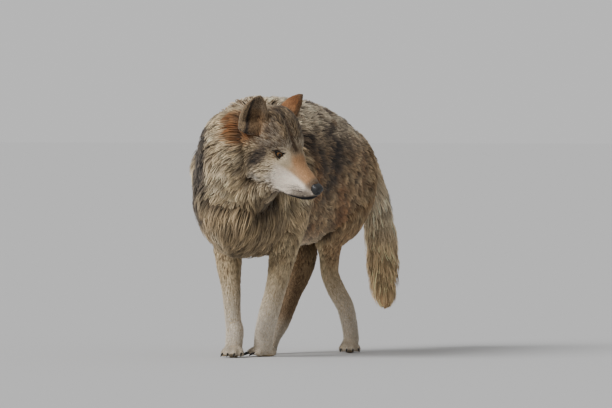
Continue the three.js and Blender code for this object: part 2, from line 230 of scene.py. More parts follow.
@dataclass(frozen=True)
class Loft:
    """A limb as sections along a path.

    Attributes:
        region: the part of the wolf it is.
        rows: (x, y, z, left, right, up, down, coat depth, hair length) in mm.
        reference: the direction that "up" leans to.
        square: the superellipse exponent of the sections.
        dome: how far each end bulges, as a share of its smallest reach.
        place: carries the rows to body coordinates.
    """

    region: Region
    rows: tuple[tuple[float, ...], ...]
    reference: tuple[float, float, float] = (0.0, -1.0, 0.0)
    square: float = 2.0
    dome: tuple[float, float] = (0.9, 0.5)
    place: Place = BODY

    def at(self, t: np.ndarray) -> np.ndarray:
        """Rows between the given rows, by a Catmull-Rom spline through each column.

        Args:
            t: places along the loft, 0 at the first row and 1 more at each row after it.

        Returns:
            One row for each place.
        """
        rows = np.array(self.rows, float)
        last = len(rows) - 1
        i = np.clip(np.floor(t).astype(int), 0, last - 1)
        f = (t - i)[:, None]
        a, b, c, d = (rows[np.clip(i + k, 0, last)] for k in (-1, 0, 1, 2))
        slope_in, slope_out, rise = (c - a) / 2, (d - b) / 2, c - b
        square, cube = 3 * rise - 2 * slope_in - slope_out, slope_in + slope_out - 2 * rise
        return b + f * (slope_in + f * (square + f * cube))

    def sample(self, rings: int, segments: int, inset: float = 1.0, crown: int = 5) -> Samples:
        """Points over the surface, domes included.

        A section is centre + side * reach_x * cos(a)^(2/square) + up * reach_y * sin(a)^(2/square),
        with signed powers and a different reach on each of the four sides.

        Args:
            rings: sections from the first row to the last.
            segments: points round a section.
            inset: how much of the coat's depth to take off.
            crown: sections over each dome.

        Returns:
            The sampled surface.
        """
        last = len(self.rows) - 1
        angles = np.linspace(0.0, math.pi / 2, crown + 1)[1:]
        start, end = np.sin(angles[::-1] * 0.96), np.sin(angles * 0.96)
        shrink = np.concatenate([np.cos(angles[::-1] * 0.96), np.ones(rings), np.cos(angles * 0.96)])
        t = np.concatenate([np.zeros(crown), np.linspace(0, last, rings), np.full(crown, last)])
        rows = self.at(t)
        after, before = self.at(np.minimum(t + 0.02, last)), self.at(np.maximum(t - 0.02, 0))
        tangents = unit(after[:, :3] - before[:, :3])
        reach = np.maximum(rows[:, 3:7] - inset * rows[:, 7:8], 0.35 * rows[:, 3:7])
        bulge = np.concatenate([-start * self.dome[0], np.zeros(rings), end * self.dome[1]])
        centres = rows[:, :3] + tangents * (bulge * reach.min(axis=1))[:, None]
        ref = np.array(self.reference)
        up = unit(ref - tangents * (tangents @ ref)[:, None])
        side = np.cross(up, tangents)
        angle = np.linspace(0.0, 2.0 * math.pi, segments, endpoint=False)
        c, s = np.cos(angle), np.sin(angle)
        c, s = np.sign(c) * np.abs(c) ** (2 / self.square), np.sign(s) * np.abs(s) ** (2 / self.square)
        across = np.where(c > 0, reach[:, 0:1], reach[:, 1:2]) * c * shrink[:, None]
        upward = np.where(s > 0, reach[:, 2:3], reach[:, 3:4]) * s * shrink[:, None]
        points = centres[:, None] + side[:, None] * across[..., None] + up[:, None] * upward[..., None]
        return Samples(self.place.out(points), tangents @ self.place.turn.T, rows[:, 7], rows[:, 8])


def tube_faces(rings: int, segments: int, offset: int = 0) -> list[tuple[int, ...]]:
    """Faces of a closed tube of rings with its two ends capped, facing outward.

    Args:
        rings: how many rings there are.
        segments: points round each ring, running anticlockwise seen from the last ring.
        offset: the first point's index.

    Returns:
        Quads and two end polygons as index tuples.
    """
    index = offset + np.arange(rings * segments).reshape(rings, segments)
    turned = np.roll(index, -1, axis=1)
    quads = np.stack([index[:-1], turned[:-1], turned[1:], index[1:]], axis=-1).reshape(-1, 4)
    return [*map(tuple, quads.tolist()), tuple(index[0, ::-1].tolist()), tuple(index[-1].tolist())]


# ---- The wolf's rows ----

RUMP_Y = 690.0


def spine_rows() -> tuple[tuple[float, ...], ...]:
    """The trunk from the rump forward, then the neck round to the back of the head.

    Returns:
        Rows of a Loft.
    """
    trunk = [
        (6, RUMP_Y - 22, 64, 646, 425, 24, 62),
        (4, RUMP_Y - 80, 95, 688, 378, 25, 62),
        (0, RUMP_Y - 165, 123, 710, 352, 26, 60),
        (-2, 390, 150, 754, 336, 26, 60),
        (-2, 250, 168, 780, 326, 27, 62),
        (0, 120, 182, 782, 316, 30, 68),
        (0, 20, 194, 782, 302, 34, 76),
    ]
    rows = []
    for x, y, side, top, bottom, coat, hair in trunk:
        z = (top + bottom) / 2 + 12
        rows.append((x, y, z, side, side, top - z, z - bottom, coat, hair))
    neck = [
        (0, -60, 566, 168, 152, 204, 262, 42, 88),
        (14, -112, 600, 138, 127, 164, 212, 44, 92),
        (48, -156, 626, 116, 122, 134, 160, 40, 86),
        (90, -180, 644, 104, 120, 120, 130, 34, 72),
        (122, -188, 654, 92, 102, 102, 108, 28, 60),
    ]
    return tuple(rows + neck)


def head_rows() -> tuple[tuple[float, ...], ...]:
    """The head from the nose back, in head coordinates: its origin is between the eyes.

    Returns:
        Rows of a Loft.
    """
    rows = []
    for ahead, half, top, bottom, level, coat, hair in [
        (150, 14, -27, -70, -49, 1.5, 4),
        (138, 21, -20, -86, -50, 2.0, 5),
        (118, 27, -13, -99, -50, 2.4, 5),
        (88, 31, -6, -111, -51, 2.8, 6),
        (58, 36, 2, -120, -51, 3.2, 7),
        (32, 45, 14, -126, -47, 4.0, 9),
        (8, 57, 30, -126, -40, 4.8, 12),
        (-16, 69, 56, -126, -34, 6.0, 14),
        (-46, 81, 83, -126, -28, 9, 21),
        (-82, 91, 104, -122, -22, 16, 34),
        (-116, 93, 107, -110, -16, 24, 50),
        (-146, 80, 95, -92, -6, 28, 60),
    ]:
        rows.append((0, -ahead, level, half, half, top - level, level - bottom, coat, hair))
    return tuple(rows)


THROAT_ROWS = (
    (0, -18, -98, 36, 36, 26, 26, 10, 26),
    (-2, 14, -112, 54, 54, 40, 50, 16, 42),
    (-6, 54, -136, 72, 72, 56, 88, 26, 64),
    (-10, 102, -166, 88, 88, 70, 120, 34, 80),
    (-14, 150, -200, 96, 96, 80, 140, 40, 88),
)


def leg_rows(side: int, rows: list[tuple[float, ...]]) -> tuple[tuple[float, ...], ...]:
    """A leg's rows from distances out from the midline.

    Args:
        side: 1 for a left leg, -1 for a right one.
        rows: (out, y, z, outer, inner, front, back, coat depth, hair length).

    Returns:
        Rows of a Loft.
    """
    made = []
    for out, y, z, outer, inner, front, back, coat, hair in rows:
        left, right = (outer, inner) if side > 0 else (inner, outer)
        made.append((side * out, y, z, left, right, front, back, coat, hair))
    return tuple(made)


SHOULDER = [
    (84, 30, 650, 58, 48, 68, 68, 24, 66),
    (104, 0, 560, 88, 60, 94, 104, 26, 66),
    (108, 10, 470, 76, 56, 82, 86, 22, 60),
]
FORE_RIGHT = SHOULDER + [
    (103, 26, 400, 52, 52, 56, 62, 15, 44),
    (95, 18, 335, 44, 44, 44, 48, 9, 28),
    (85, 9, 265, 37, 37, 36, 38, 6, 18),
    (75, 3, 200, 29, 29, 29, 30, 4.5, 14),
    (70, 0, 145, 25, 26, 27, 28, 3.8, 12),
    (67, 0, 108, 24, 25, 26, 27, 3.5, 11),
    (60, -4, 80, 27, 29, 27, 28, 3.5, 11),
    (57, -14, 34, 26, 27, 27, 26, 3.0, 9),
]
FORE_LEFT = SHOULDER + [
    (104, 28, 400, 52, 52, 56, 62, 15, 44),
    (98, 16, 335, 44, 44, 44, 48, 9, 28),
    (88, 8, 262, 35, 36, 37, 39, 6, 18),
    (75, 2, 200, 31, 31, 33, 34, 4.5, 14),
    (55, 8, 145, 31, 31, 34, 32, 3.8, 12),
    (33, 31, 108, 29, 31, 33, 31, 3.5, 11),
    (12, 55, 76, 29, 31, 32, 30, 3.5, 11),
    (-1, 71, 34, 28, 30, 31, 28, 3.0, 9),
]
HIND_LEFT = [
    (58, RUMP_Y - 140, 620, 52, 50, 80, 74, 22, 58),
    (66, RUMP_Y - 160, 545, 60, 56, 116, 108, 20, 56),
    (74, RUMP_Y - 210, 455, 50, 50, 122, 96, 17, 52),
    (72, RUMP_Y - 247, 410, 46, 46, 108, 82, 15, 46),
    (62, RUMP_Y - 282, 372, 38, 40, 80, 64, 12, 38),
    (44, RUMP_Y - 270, 335, 31, 33, 56, 50, 9, 28),
    (32, RUMP_Y - 254, 296, 26, 28, 42, 42, 6, 20),
    (26, RUMP_Y - 243, 242, 24, 25, 35, 40, 4.5, 15),
    (42, RUMP_Y - 233, 192, 25, 26, 33, 42, 4, 13),
    (64, RUMP_Y - 220, 145, 25, 25, 31, 38, 3.6, 12),
    (74, RUMP_Y - 214, 105, 25, 25, 29, 31, 3.5, 11),
    (80, RUMP_Y - 210, 66, 24, 24, 26, 27, 3.2, 10),
    (83, RUMP_Y - 209, 34, 25, 25, 25, 25, 3, 9),
]
HIND_RIGHT = [
    (58, RUMP_Y - 140, 620, 52, 50, 80, 74, 22, 58),
    (66, RUMP_Y - 168, 545, 60, 56, 112, 108, 20, 54),
    (74, RUMP_Y - 236, 452, 50, 50, 98, 96, 16, 46),
    (74, RUMP_Y - 270, 375, 46, 46, 84, 92, 14, 42),
    (66, RUMP_Y - 262, 305, 40, 42, 62, 76, 9, 28),
    (68, RUMP_Y - 270, 244, 33, 33, 48, 56, 5, 16),
    (74, RUMP_Y - 297, 193, 28, 28, 35, 41, 4, 13),
    (78, RUMP_Y - 322, 147, 26, 26, 30, 33, 3.6, 12),
    (80, RUMP_Y - 358, 96, 25, 25, 28, 29, 3.5, 11),
    (82, RUMP_Y - 406, 58, 26, 26, 27, 27, 3.2, 10),
    (83, RUMP_Y - 424, 34, 26, 26, 25, 25, 3, 9),
]
TAIL_ROWS = (
    (8, RUMP_Y - 26, 612, 36, 36, 36, 36, 16, 60),
    (12, RUMP_Y + 24, 570, 44, 42, 44, 42, 22, 74),
    (18, RUMP_Y + 62, 488, 52, 48, 50, 46, 28, 84),
    (25, RUMP_Y + 80, 400, 58, 52, 54, 50, 33, 90),
    (32, RUMP_Y + 86, 310, 58, 52, 52, 50, 35, 92),
    (40, RUMP_Y + 84, 222, 47, 42, 44, 42, 30, 84),
    (50, RUMP_Y + 80, 160, 30, 28, 30, 28, 21, 70),
)


@dataclass(frozen=True)
class PawPlan:
    """Where a paw stands.

    Attributes:
        spot: the point under its wrist, in body coordinates.
        heading: degrees from straight ahead, positive to the wolf's left.
        size: its size against a forepaw drawn at 1.
    """

    spot: tuple[float, float]
    heading: float
    size: float

    @property
    def place(self) -> Place:
        """The paw's placement in body coordinates."""
        return Place(turn("z", self.heading) * self.size, np.array([*self.spot, 0.0]))

    def toe_rows(self) -> list[tuple[tuple[float, ...], ...]]:
        """The four toes.

        Returns:
            One set of loft rows for each toe.
        """
        toes = []
        for side in (-1, 1):
            for out, reach, splay, height in ((10.5, 62, 1.5, 24), (27, 46, 7, 21)):
                toes.append((
                    (side * out * 0.72, 6, height + 16, 12, 12, 15, 18, 3, 9),
                    (side * out * 0.9, -20, height + 6, 13, 13, 15, 20, 3, 9),
                    (side * (out + splay * 0.5), -reach + 16, height - 2, 13, 13, 14, 19, 2.5, 8),
                    (side * (out + splay), -reach, height - 8, 10, 10, 10, 12, 2, 7),
                ))
        return toes

    def claw_rows(self) -> list[tuple[tuple[float, ...], ...]]:
        """The four claws.

        Returns:
            One set of loft rows for each claw.
        """
        claws = []
        for side in (-1, 1):
            for out, reach, splay in ((10.5, 62, 1.5), (27, 46, 7)):
                claws.append((
                    (side * (out + splay), -reach + 2, 16, 4, 4, 4, 5, 0, 0),
                    (side * (out + splay * 1.15), -reach - 8, 14, 3.6, 3.6, 3.8, 4.4, 0, 0),
                    (side * (out + splay * 1.3), -reach - 16, 10, 2.8, 2.8, 3, 3.4, 0, 0),
                    (side * (out + splay * 1.5), -reach - 24, 5, 1.0, 1.0, 1.2, 1.3, 0, 0),
                ))
        return claws


PAD_ROWS = (
    (0, 26, 16, 20, 20, 18, 18, 2, 8),
    (0, 6, 20, 27, 27, 24, 24, 2.5, 9),
    (0, -18, 20, 26, 26, 20, 24, 2.5, 9),
    (0, -34, 18, 20, 20, 14, 20, 2, 8),
)

PAWS = (
    PawPlan((-55, -18), 20, 0.82),
    PawPlan((0, 82), -50, 0.82),
    PawPlan((81, RUMP_Y - 217), 28, 0.78),
    PawPlan((-83, RUMP_Y - 430), 0, 0.78),
)


def wolf_lofts() -> list[Loft]:
    """Every loft of the skin except the ears.

    Returns:
        The lofts in body coordinates.
    """
    lofts = [
        Loft(Region.SPINE, spine_rows(), UP, 2.1, (0.75, 0.4)),
        Loft(Region.HEAD, head_rows(), UP, 2.7, (0.5, 0.35), HEAD),
        Loft(Region.SPINE, THROAT_ROWS, UP, 2.1, (0.6, 0.4), HEAD),
        Loft(Region.TAIL, TAIL_ROWS, dome=(0.8, 1.0)),
    ]
    for side, rows in ((-1, FORE_RIGHT), (1, FORE_LEFT), (1, HIND_LEFT), (-1, HIND_RIGHT)):
        lofts.append(Loft(Region.LEG, leg_rows(side, rows)))
    for plan in PAWS:
        lofts.append(Loft(Region.PAW, PAD_ROWS, dome=(0.9, 0.3), reference=UP, place=plan.place))
        for rows in plan.toe_rows():
            lofts.append(Loft(Region.PAW, rows, dome=(0.6, 0.7), reference=UP, place=plan.place))
    return lofts


# ---- Eyes and ears, which the skin is shaped round ----


@dataclass(frozen=True)
class EyePlan:
    """An eyeball and the opening of its lids, in head coordinates.

    Attributes:
        side: 1 for the left eye, -1 for the right.
        middle: distance out, back and up of its centre.
        radius: the eyeball's radius.
        aim: degrees that it looks outward from straight ahead.
        tilt: degrees that the outer corner is raised.
        width: half the opening's width, in degrees round the ball.
        upper: the upper lid's height, in degrees.
        lower: the lower lid's depth, in degrees.
    """

    side: int
    middle: tuple[float, float, float] = (38.5, 0.0, 3.0)
    radius: float = 13.0
    aim: float = 41.0
    tilt: float = 15.0
    width: float = 67.0
    upper: float = 34.0
    lower: float = 30.0

    @property
    def centre(self) -> np.ndarray:
        """The centre in head coordinates."""
        return np.array(self.middle) * [self.side, 1, 1]

    @property
    def axes(self) -> np.ndarray:
        """Unit vectors to the outer corner, to the brow and along the gaze.

        Returns:
            A 3 by 3 matrix with those vectors as its rows.
        """
        aim, tilt = math.radians(self.aim), math.radians(self.tilt)
        gaze = np.array([self.side * math.sin(aim), -math.cos(aim), 0.05])
        gaze /= np.linalg.norm(gaze)
        outer = np.array([self.side * math.cos(aim), math.sin(aim), 0.0])
        brow = unit(np.array([0.0, 0.0, 1.0]) - gaze * gaze[2])
        return np.array([
            outer * math.cos(tilt) + brow * math.sin(tilt),
            brow * math.cos(tilt) - outer * math.sin(tilt),
            gaze,
        ])

    def opening(self, points: np.ndarray) -> tuple[np.ndarray, np.ndarray]:
        """How far points lie from the opening: |rise / lid| + (swing / width)^2 is 1 at the lids' edge.

        Args:
            points: points in head coordinates.

        Returns:
            That value, 9 behind the ball, and the distance from the ball's centre.
        """
        local = (points - self.centre) @ self.axes.T
        distance = np.maximum(np.linalg.norm(local, axis=1), 1e-6)
        swing = np.degrees(np.arctan2(local[:, 0], local[:, 2]))
        rise = np.degrees(np.arcsin(np.clip(local[:, 1] / distance, -1, 1)))
        value = np.abs(rise) / np.where(rise > 0, self.upper, self.lower) + (swing / self.width) ** 2
        return np.where(local[:, 2] > -0.2 * distance, value, 9.0), distance

    def rim(self, count: int, radius: float) -> np.ndarray:
        """Points along the lids' edge, clear of the ball.

        Args:
            count: how many points.
            radius: their distance from the ball's centre.

        Returns:
            Points in head coordinates, from the outer corner over the upper lid.
        """
        angle = np.linspace(0.0, 2.0 * math.pi, count, endpoint=False)
        swing = np.radians(self.width) * np.cos(angle)
        lid = np.where(np.sin(angle) > 0, self.upper, self.lower)
        rise = np.radians(lid) * np.sin(angle) * np.abs(np.sin(angle))
        local = np.stack([np.sin(swing) * np.cos(rise), np.sin(rise), np.cos(swing) * np.cos(rise)], axis=1)
        return self.centre + radius * local @ self.axes


EYES = (EyePlan(1), EyePlan(-1))


@dataclass(frozen=True)
class EarPlan:
    """An ear: a leaf of skin curled into a cup that opens to the front.

    Attributes:
        side: 1 for the left ear, -1 for the right.
        root: where it stands, as distance out, back and up on the head.
        lean: degrees that it leans outward.
        tilt: degrees that it leans back.
        yaw: degrees that its cup turns outward.
        rows: (height, y, half width, front reach, back reach) in mm.
        wall: thickness of the leaf.
    """

    side: int
    root: tuple[float, float, float] = (79.0, 97.0, 38.0)
    lean: float = 9.0
    tilt: float = 5.0
    yaw: float = 45.0
    rows: tuple[tuple[float, ...], ...] = (
        (-14, 0, 38, 23, 23),
        (20, 2, 41, 21, 24),
        (49, 4, 38, 18, 20),
        (76, 5, 29, 13, 15),
        (95, 5, 17, 8, 9),
        (105, 5, 8, 4.5, 4.5),
        (109, 5, 3, 3, 3),
    )
    wall: float = 8.0

    @property
    def place(self) -> Place:
        """The ear's placement in body coordinates."""
        tilt = turn("y", self.lean * self.side) @ turn("x", -self.tilt) @ turn("z", self.yaw * self.side)
        return HEAD.inside(Place(tilt, np.array(self.root) * [self.side, 1, 1]))

    def sample(self, rings: int, segments: int) -> tuple[np.ndarray, np.ndarray]:
        """Points over the leaf.

        A section is an ellipse whose front half is pressed back to the wall's thickness between
        its two rims: y = -front * sin(a) + (front + rear - wall) * ramp(|cos(a)|).

        Args:
            rings: sections from root to tip.
            segments: points round a section.

        Returns:
            Ring by segment points in body coordinates, and how far each is inside the cup, 0 to 1.
        """
        rows = np.array(self.rows)
        height = np.linspace(rows[0, 0], rows[-1, 0], rings)
        y, half, front, rear = (np.interp(height, rows[:, 0], rows[:, k])[:, None] for k in (1, 2, 3, 4))
        angle = np.linspace(0.0, 2.0 * math.pi, segments, endpoint=False)[None]
        c, s = np.cos(angle), np.sin(angle)
        cup = smooth(0.86, 0.42, np.abs(c)) * (s > 0) * smooth(2.0, 26.0, height)[:, None]
        cup = cup * smooth(106.0, 88.0, height)[:, None]
        depth = np.maximum(front + rear - self.wall, 0.0)
        reach = np.where(s > 0, front, rear)
        inward = 9.0 * self.side * np.clip(height / 109.0, 0, 1)[:, None] ** 3
        across, back = half * c - inward, y - reach * s + depth * cup
        local = np.stack(np.broadcast_arrays(across, back, height[:, None]), axis=-1)
        return self.place.out(local), cup


EARS = (EarPlan(1, (58.0, 96.0, 27.0), 20.0, 0.0, 74.0), EarPlan(-1))

# The line of the mouth in head coordinates, as distance ahead and height.
MOUTH = np.array(
    [[30, -109], [58, -104], [88, -97], [104, -91], [118, -84], [130, -76], [142, -67], [154, -58]], float
)
NAPE = np.array([[133.0, -281.0, 668.0], [84.0, -238.0, 760.0]])  # ends of the orange streak on the nape


def parting(head: np.ndarray) -> np.ndarray:
    """Distance to the left of the brow's furrow, which leans a little to the right."""
    return head[:, 0] + 8.0 * smooth(34, 0, -head[:, 1])


def mouth_drop(head: np.ndarray) -> np.ndarray:
    """Height above the line of the mouth.

    Args:
        head: points in head coordinates.

    Returns:
        Millimetres above it; far from it behind the corner of the mouth.
    """
    ahead = -head[:, 1]
    above = head[:, 2] - np.interp(ahead, MOUTH[:, 0], MOUTH[:, 1])
    return np.where(ahead < MOUTH[0, 0], np.hypot(above, MOUTH[0, 0] - ahead), above)


def lip_depth(ahead: np.ndarray) -> np.ndarray:
    """How far the bare lip reaches below the line of the mouth, at distances ahead of the eyes."""
    return 6.0 + 5.0 * smooth(60, 125, ahead)


# ---- Meshes ----


def to_frame(points: np.ndarray) -> np.ndarray:
    """Takes body coordinates in millimetres to the frame in metres."""
    return (points - ROW_ORIGIN) * MM


def mesh_of(name: str, points: np.ndarray, triangles: np.ndarray) -> bpy.types.Mesh:
    """A smooth mesh of triangles.

    Args:
        name: the mesh's name.
        points: its points in body coordinates.
        triangles: three point indices in each row.

    Returns:
        The mesh, in the frame.
    """
    mesh = bpy.data.meshes.new(name)
    mesh.vertices.add(len(points))
    mesh.vertices.foreach_set("co", to_frame(points).astype(np.float32).ravel())
    mesh.loops.add(triangles.size)
    mesh.loops.foreach_set("vertex_index", triangles.astype(np.int32).ravel())
    mesh.polygons.add(len(triangles))
    mesh.polygons.foreach_set("loop_start", np.arange(0, triangles.size, 3, dtype=np.int32))
    mesh.polygons.foreach_set("use_smooth", np.ones(len(triangles), bool))
    mesh.update(calc_edges=True)
    return mesh


def set_attribute(mesh: bpy.types.Mesh, name: str, values: np.ndarray) -> None:
    """Stores values on a mesh's points.

    Args:
        mesh: the mesh.
        name: the attribute's name.
        values: one number, one vector or one colour for each point.
    """
    kinds = {1: ("FLOAT", "value"), 3: ("FLOAT_VECTOR", "vector"), 4: ("FLOAT_COLOR", "color")}
    kind, key = kinds[1 if values.ndim == 1 else values.shape[1]]
    mesh.attributes.new(name, kind, "POINT").data.foreach_set(key, values.astype(np.float32).ravel())


def set_unwrap(mesh: bpy.types.Mesh, places: np.ndarray) -> None:
    """Gives a mesh its OFBake map, a pair for each corner of each face."""
    mesh.uv_layers.new(name="OFBake").data.foreach_set("uv", places.astype(np.float32).ravel())


def set_tone(mesh: bpy.types.Mesh, colours: np.ndarray) -> None:
    """Stores display colours on a mesh's points as light, in an attribute named tone.

    Args:
        mesh: the mesh.
        colours: a row of three for each point, 0 to 1 as on a display.
    """
    light = np.where(colours <= 0.04045, colours / 12.92, ((np.maximum(colours, 0) + 0.055) / 1.055) ** 2.4)
    set_attribute(mesh, "tone", np.concatenate([light, np.ones((len(light), 1))], axis=1))


def show(mesh: bpy.types.Mesh, material: bpy.types.Material, slot: str, *nodes: str) -> bpy.types.Object:
    """Puts a mesh in the scene, riding on the wolf.

    Args:
        mesh: the mesh.
        material: its finish.
        slot: the record's material slot; not used.
        nodes: the solids that it stands for.

    Returns:
        The object.
    """
    made = bpy.data.objects.new(mesh.name, mesh)
    bpy.context.scene.collection.objects.link(made)
    mesh.materials.append(material)
    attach(made, "root")
    if nodes:
        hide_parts(*nodes)
    return made


def walls(rings: int, segments: int) -> np.ndarray:
    """Triangles between neighbouring rings of points.

    Args:
        rings: how many rings there are.
        segments: points round each, running anticlockwise seen from the last ring.

    Returns:
        Three point indices in each row.
    """
    i = np.arange(rings * segments).reshape(rings, segments)
    j = np.roll(i, -1, axis=1)
    return np.stack([i[:-1], j[:-1], j[1:], i[:-1], j[1:], i[1:]], axis=-1).reshape(-1, 3)


def tubes(paths: np.ndarray, radii: np.ndarray, segments: int = 6) -> tuple[np.ndarray, np.ndarray]:
    """Closed tubes along paths: centre + radius * (side * cos(a) + up * sin(a)), with capped ends.

    Args:
        paths: tube by ring by 3.
        radii: tube by ring.
        segments: points round each ring.

    Returns:
        Points and triangles of all the tubes together.
    """
    count, rings = paths.shape[:2]
    forward = unit(np.gradient(paths, axis=1))
    spare = np.where(np.abs(forward[..., 2:]) > 0.9, np.array([0.0, 1.0, 0.0]), np.array(UP))
    up = unit(spare - forward * np.sum(forward * spare, axis=-1, keepdims=True))
    side = np.cross(up, forward)
    angle = np.linspace(0.0, 2.0 * math.pi, segments, endpoint=False)
    ring = side[:, :, None] * np.cos(angle)[:, None] + up[:, :, None] * np.sin(angle)[:, None]
    points = (paths[:, :, None] + ring * radii[:, :, None, None]).reshape(-1, 3)
    fan = np.arange(1, segments - 1)
    hub = np.zeros_like(fan)
    start = np.stack([hub, fan + 1, fan], axis=1)
    end = np.stack([hub, fan, fan + 1], axis=1) + (rings - 1) * segments
    one = np.concatenate([walls(rings, segments), start, end])
    return points, (one[None] + (np.arange(count) * rings * segments)[:, None, None]).reshape(-1, 3)


def surface(points: np.ndarray) -> tuple[np.ndarray, np.ndarray]:
    """A closed surface from rings of points, with a fan over each end.

    Args:
        points: ring by segment by 3, running anticlockwise seen from the last ring.

    Returns:
        Flat points and triangles.
    """
    rings, segments = points.shape[:2]
    ring = np.arange(segments)
    after, last = np.roll(ring, -1), (rings - 1) * segments
    hub = np.full(segments, rings * segments)
    start = np.stack([hub, after, ring], axis=1)
    end = np.stack([hub + 1, last + ring, last + after], axis=1)
    ends = np.stack([points[0].mean(axis=0), points[-1].mean(axis=0)])
    return np.concatenate([points.reshape(-1, 3), ends]), np.concatenate([walls(rings, segments), start, end])


# ---- Skin ----


def lean(base: np.ndarray, direction: np.ndarray, share: np.ndarray | float) -> np.ndarray:
    """Leans unit vectors toward a direction, by a share of it, and makes them unit."""
    return unit(base + np.asarray(share)[..., None] * direction)


DOWN = np.array([0.0, 0.0, -1.0])
FACE_POINT = HEAD.out(np.array([[0.0, -70.0, -30.0]]))[0]  # the ruff's hair radiates from here


@dataclass
class Guide:
    """Points on the lofts that tell the skin its coat.

    Attributes:
        points: places in body coordinates.
        flow: the way the hair lies.
        coat: depth of the coat.
        hair: length of the hair.
        along: 0 to 1 along the loft.
        region: the loft's Region as a number, and 5 for an ear.
        unwrap: places on the unwrap.
    """

    points: np.ndarray
    flow: np.ndarray
    coat: np.ndarray
    hair: np.ndarray
    along: np.ndarray
    region: np.ndarray
    unwrap: np.ndarray

    @staticmethod
    def spread(points: np.ndarray, flow: np.ndarray, coat: np.ndarray, hair: np.ndarray, region: int,
               box: tuple[float, float, float, float]) -> "Guide":
        """Flattens one loft's rings.

        Args:
            points: ring by segment by 3.
            flow: the same shape.
            coat: one value for each ring.
            hair: one value for each ring.
            region: its region's number.
            box: its rectangle of the unwrap, as left, bottom, right and top.

        Returns:
            The guide of that loft.
        """
        rings, segments = points.shape[:2]
        u, v = np.meshgrid(np.linspace(0, 1, rings), np.arange(segments) / segments, indexing="ij")
        unwrap = np.stack([box[0] + u * (box[2] - box[0]), box[1] + v * (box[3] - box[1])], axis=-1)
        return Guide(
            points.reshape(-1, 3), flow.reshape(-1, 3), np.repeat(coat, segments), np.repeat(hair, segments),
            u.ravel(), np.full(rings * segments, region), unwrap.reshape(-1, 2),
        )

    @staticmethod
    def join(guides: list["Guide"]) -> "Guide":
        """Joins guides into one."""
        columns = ([getattr(guide, item.name) for guide in guides] for item in fields(Guide))
        return Guide(*(np.concatenate(column) for column in columns))


def hair_flow(region: Region, points: np.ndarray, tangents: np.ndarray) -> np.ndarray:
    """The way the hair lies on a loft.

    Args:
        region: the loft's region.
        points: ring by segment by 3.
        tangents: ring by 3.

    Returns:
        Unit vectors, ring by segment by 3.
    """
    flow = np.broadcast_to(tangents[:, None], points.shape)
    if region is Region.SPINE:
        away = unit(points - FACE_POINT)
        low = smooth(720, 420, points[..., 2])
        neck = smooth(30, -90, points[..., 1])[..., None]
        trunk = lean(-flow, DOWN, 0.10 + 0.42 * low)
        ruff = lean(away, DOWN, 0.40 + 2.2 * low)
        return unit(trunk * (1 - neck) + ruff * neck)
    if region is Region.HEAD:
        head = HEAD.back(points)
        cheek = smooth(60, -30, -head[..., 1]) * smooth(20, -60, head[..., 2])
        back = np.array([0.0, 1.0, 0.0]) + cheek[..., None] * np.array([0.0, -0.25, -1.1])
        back = back + np.sign(head[..., :1]) * cheek[..., None] * np.array([0.45, 0, 0])
        return unit(back) @ HEAD.turn.T
    if region is Region.LEG:
        upper = smooth(330, 520, points[..., 2])
        return lean(flow, np.array([0.0, 1.0, 0.0]), 0.8 * upper)
    return unit(flow)


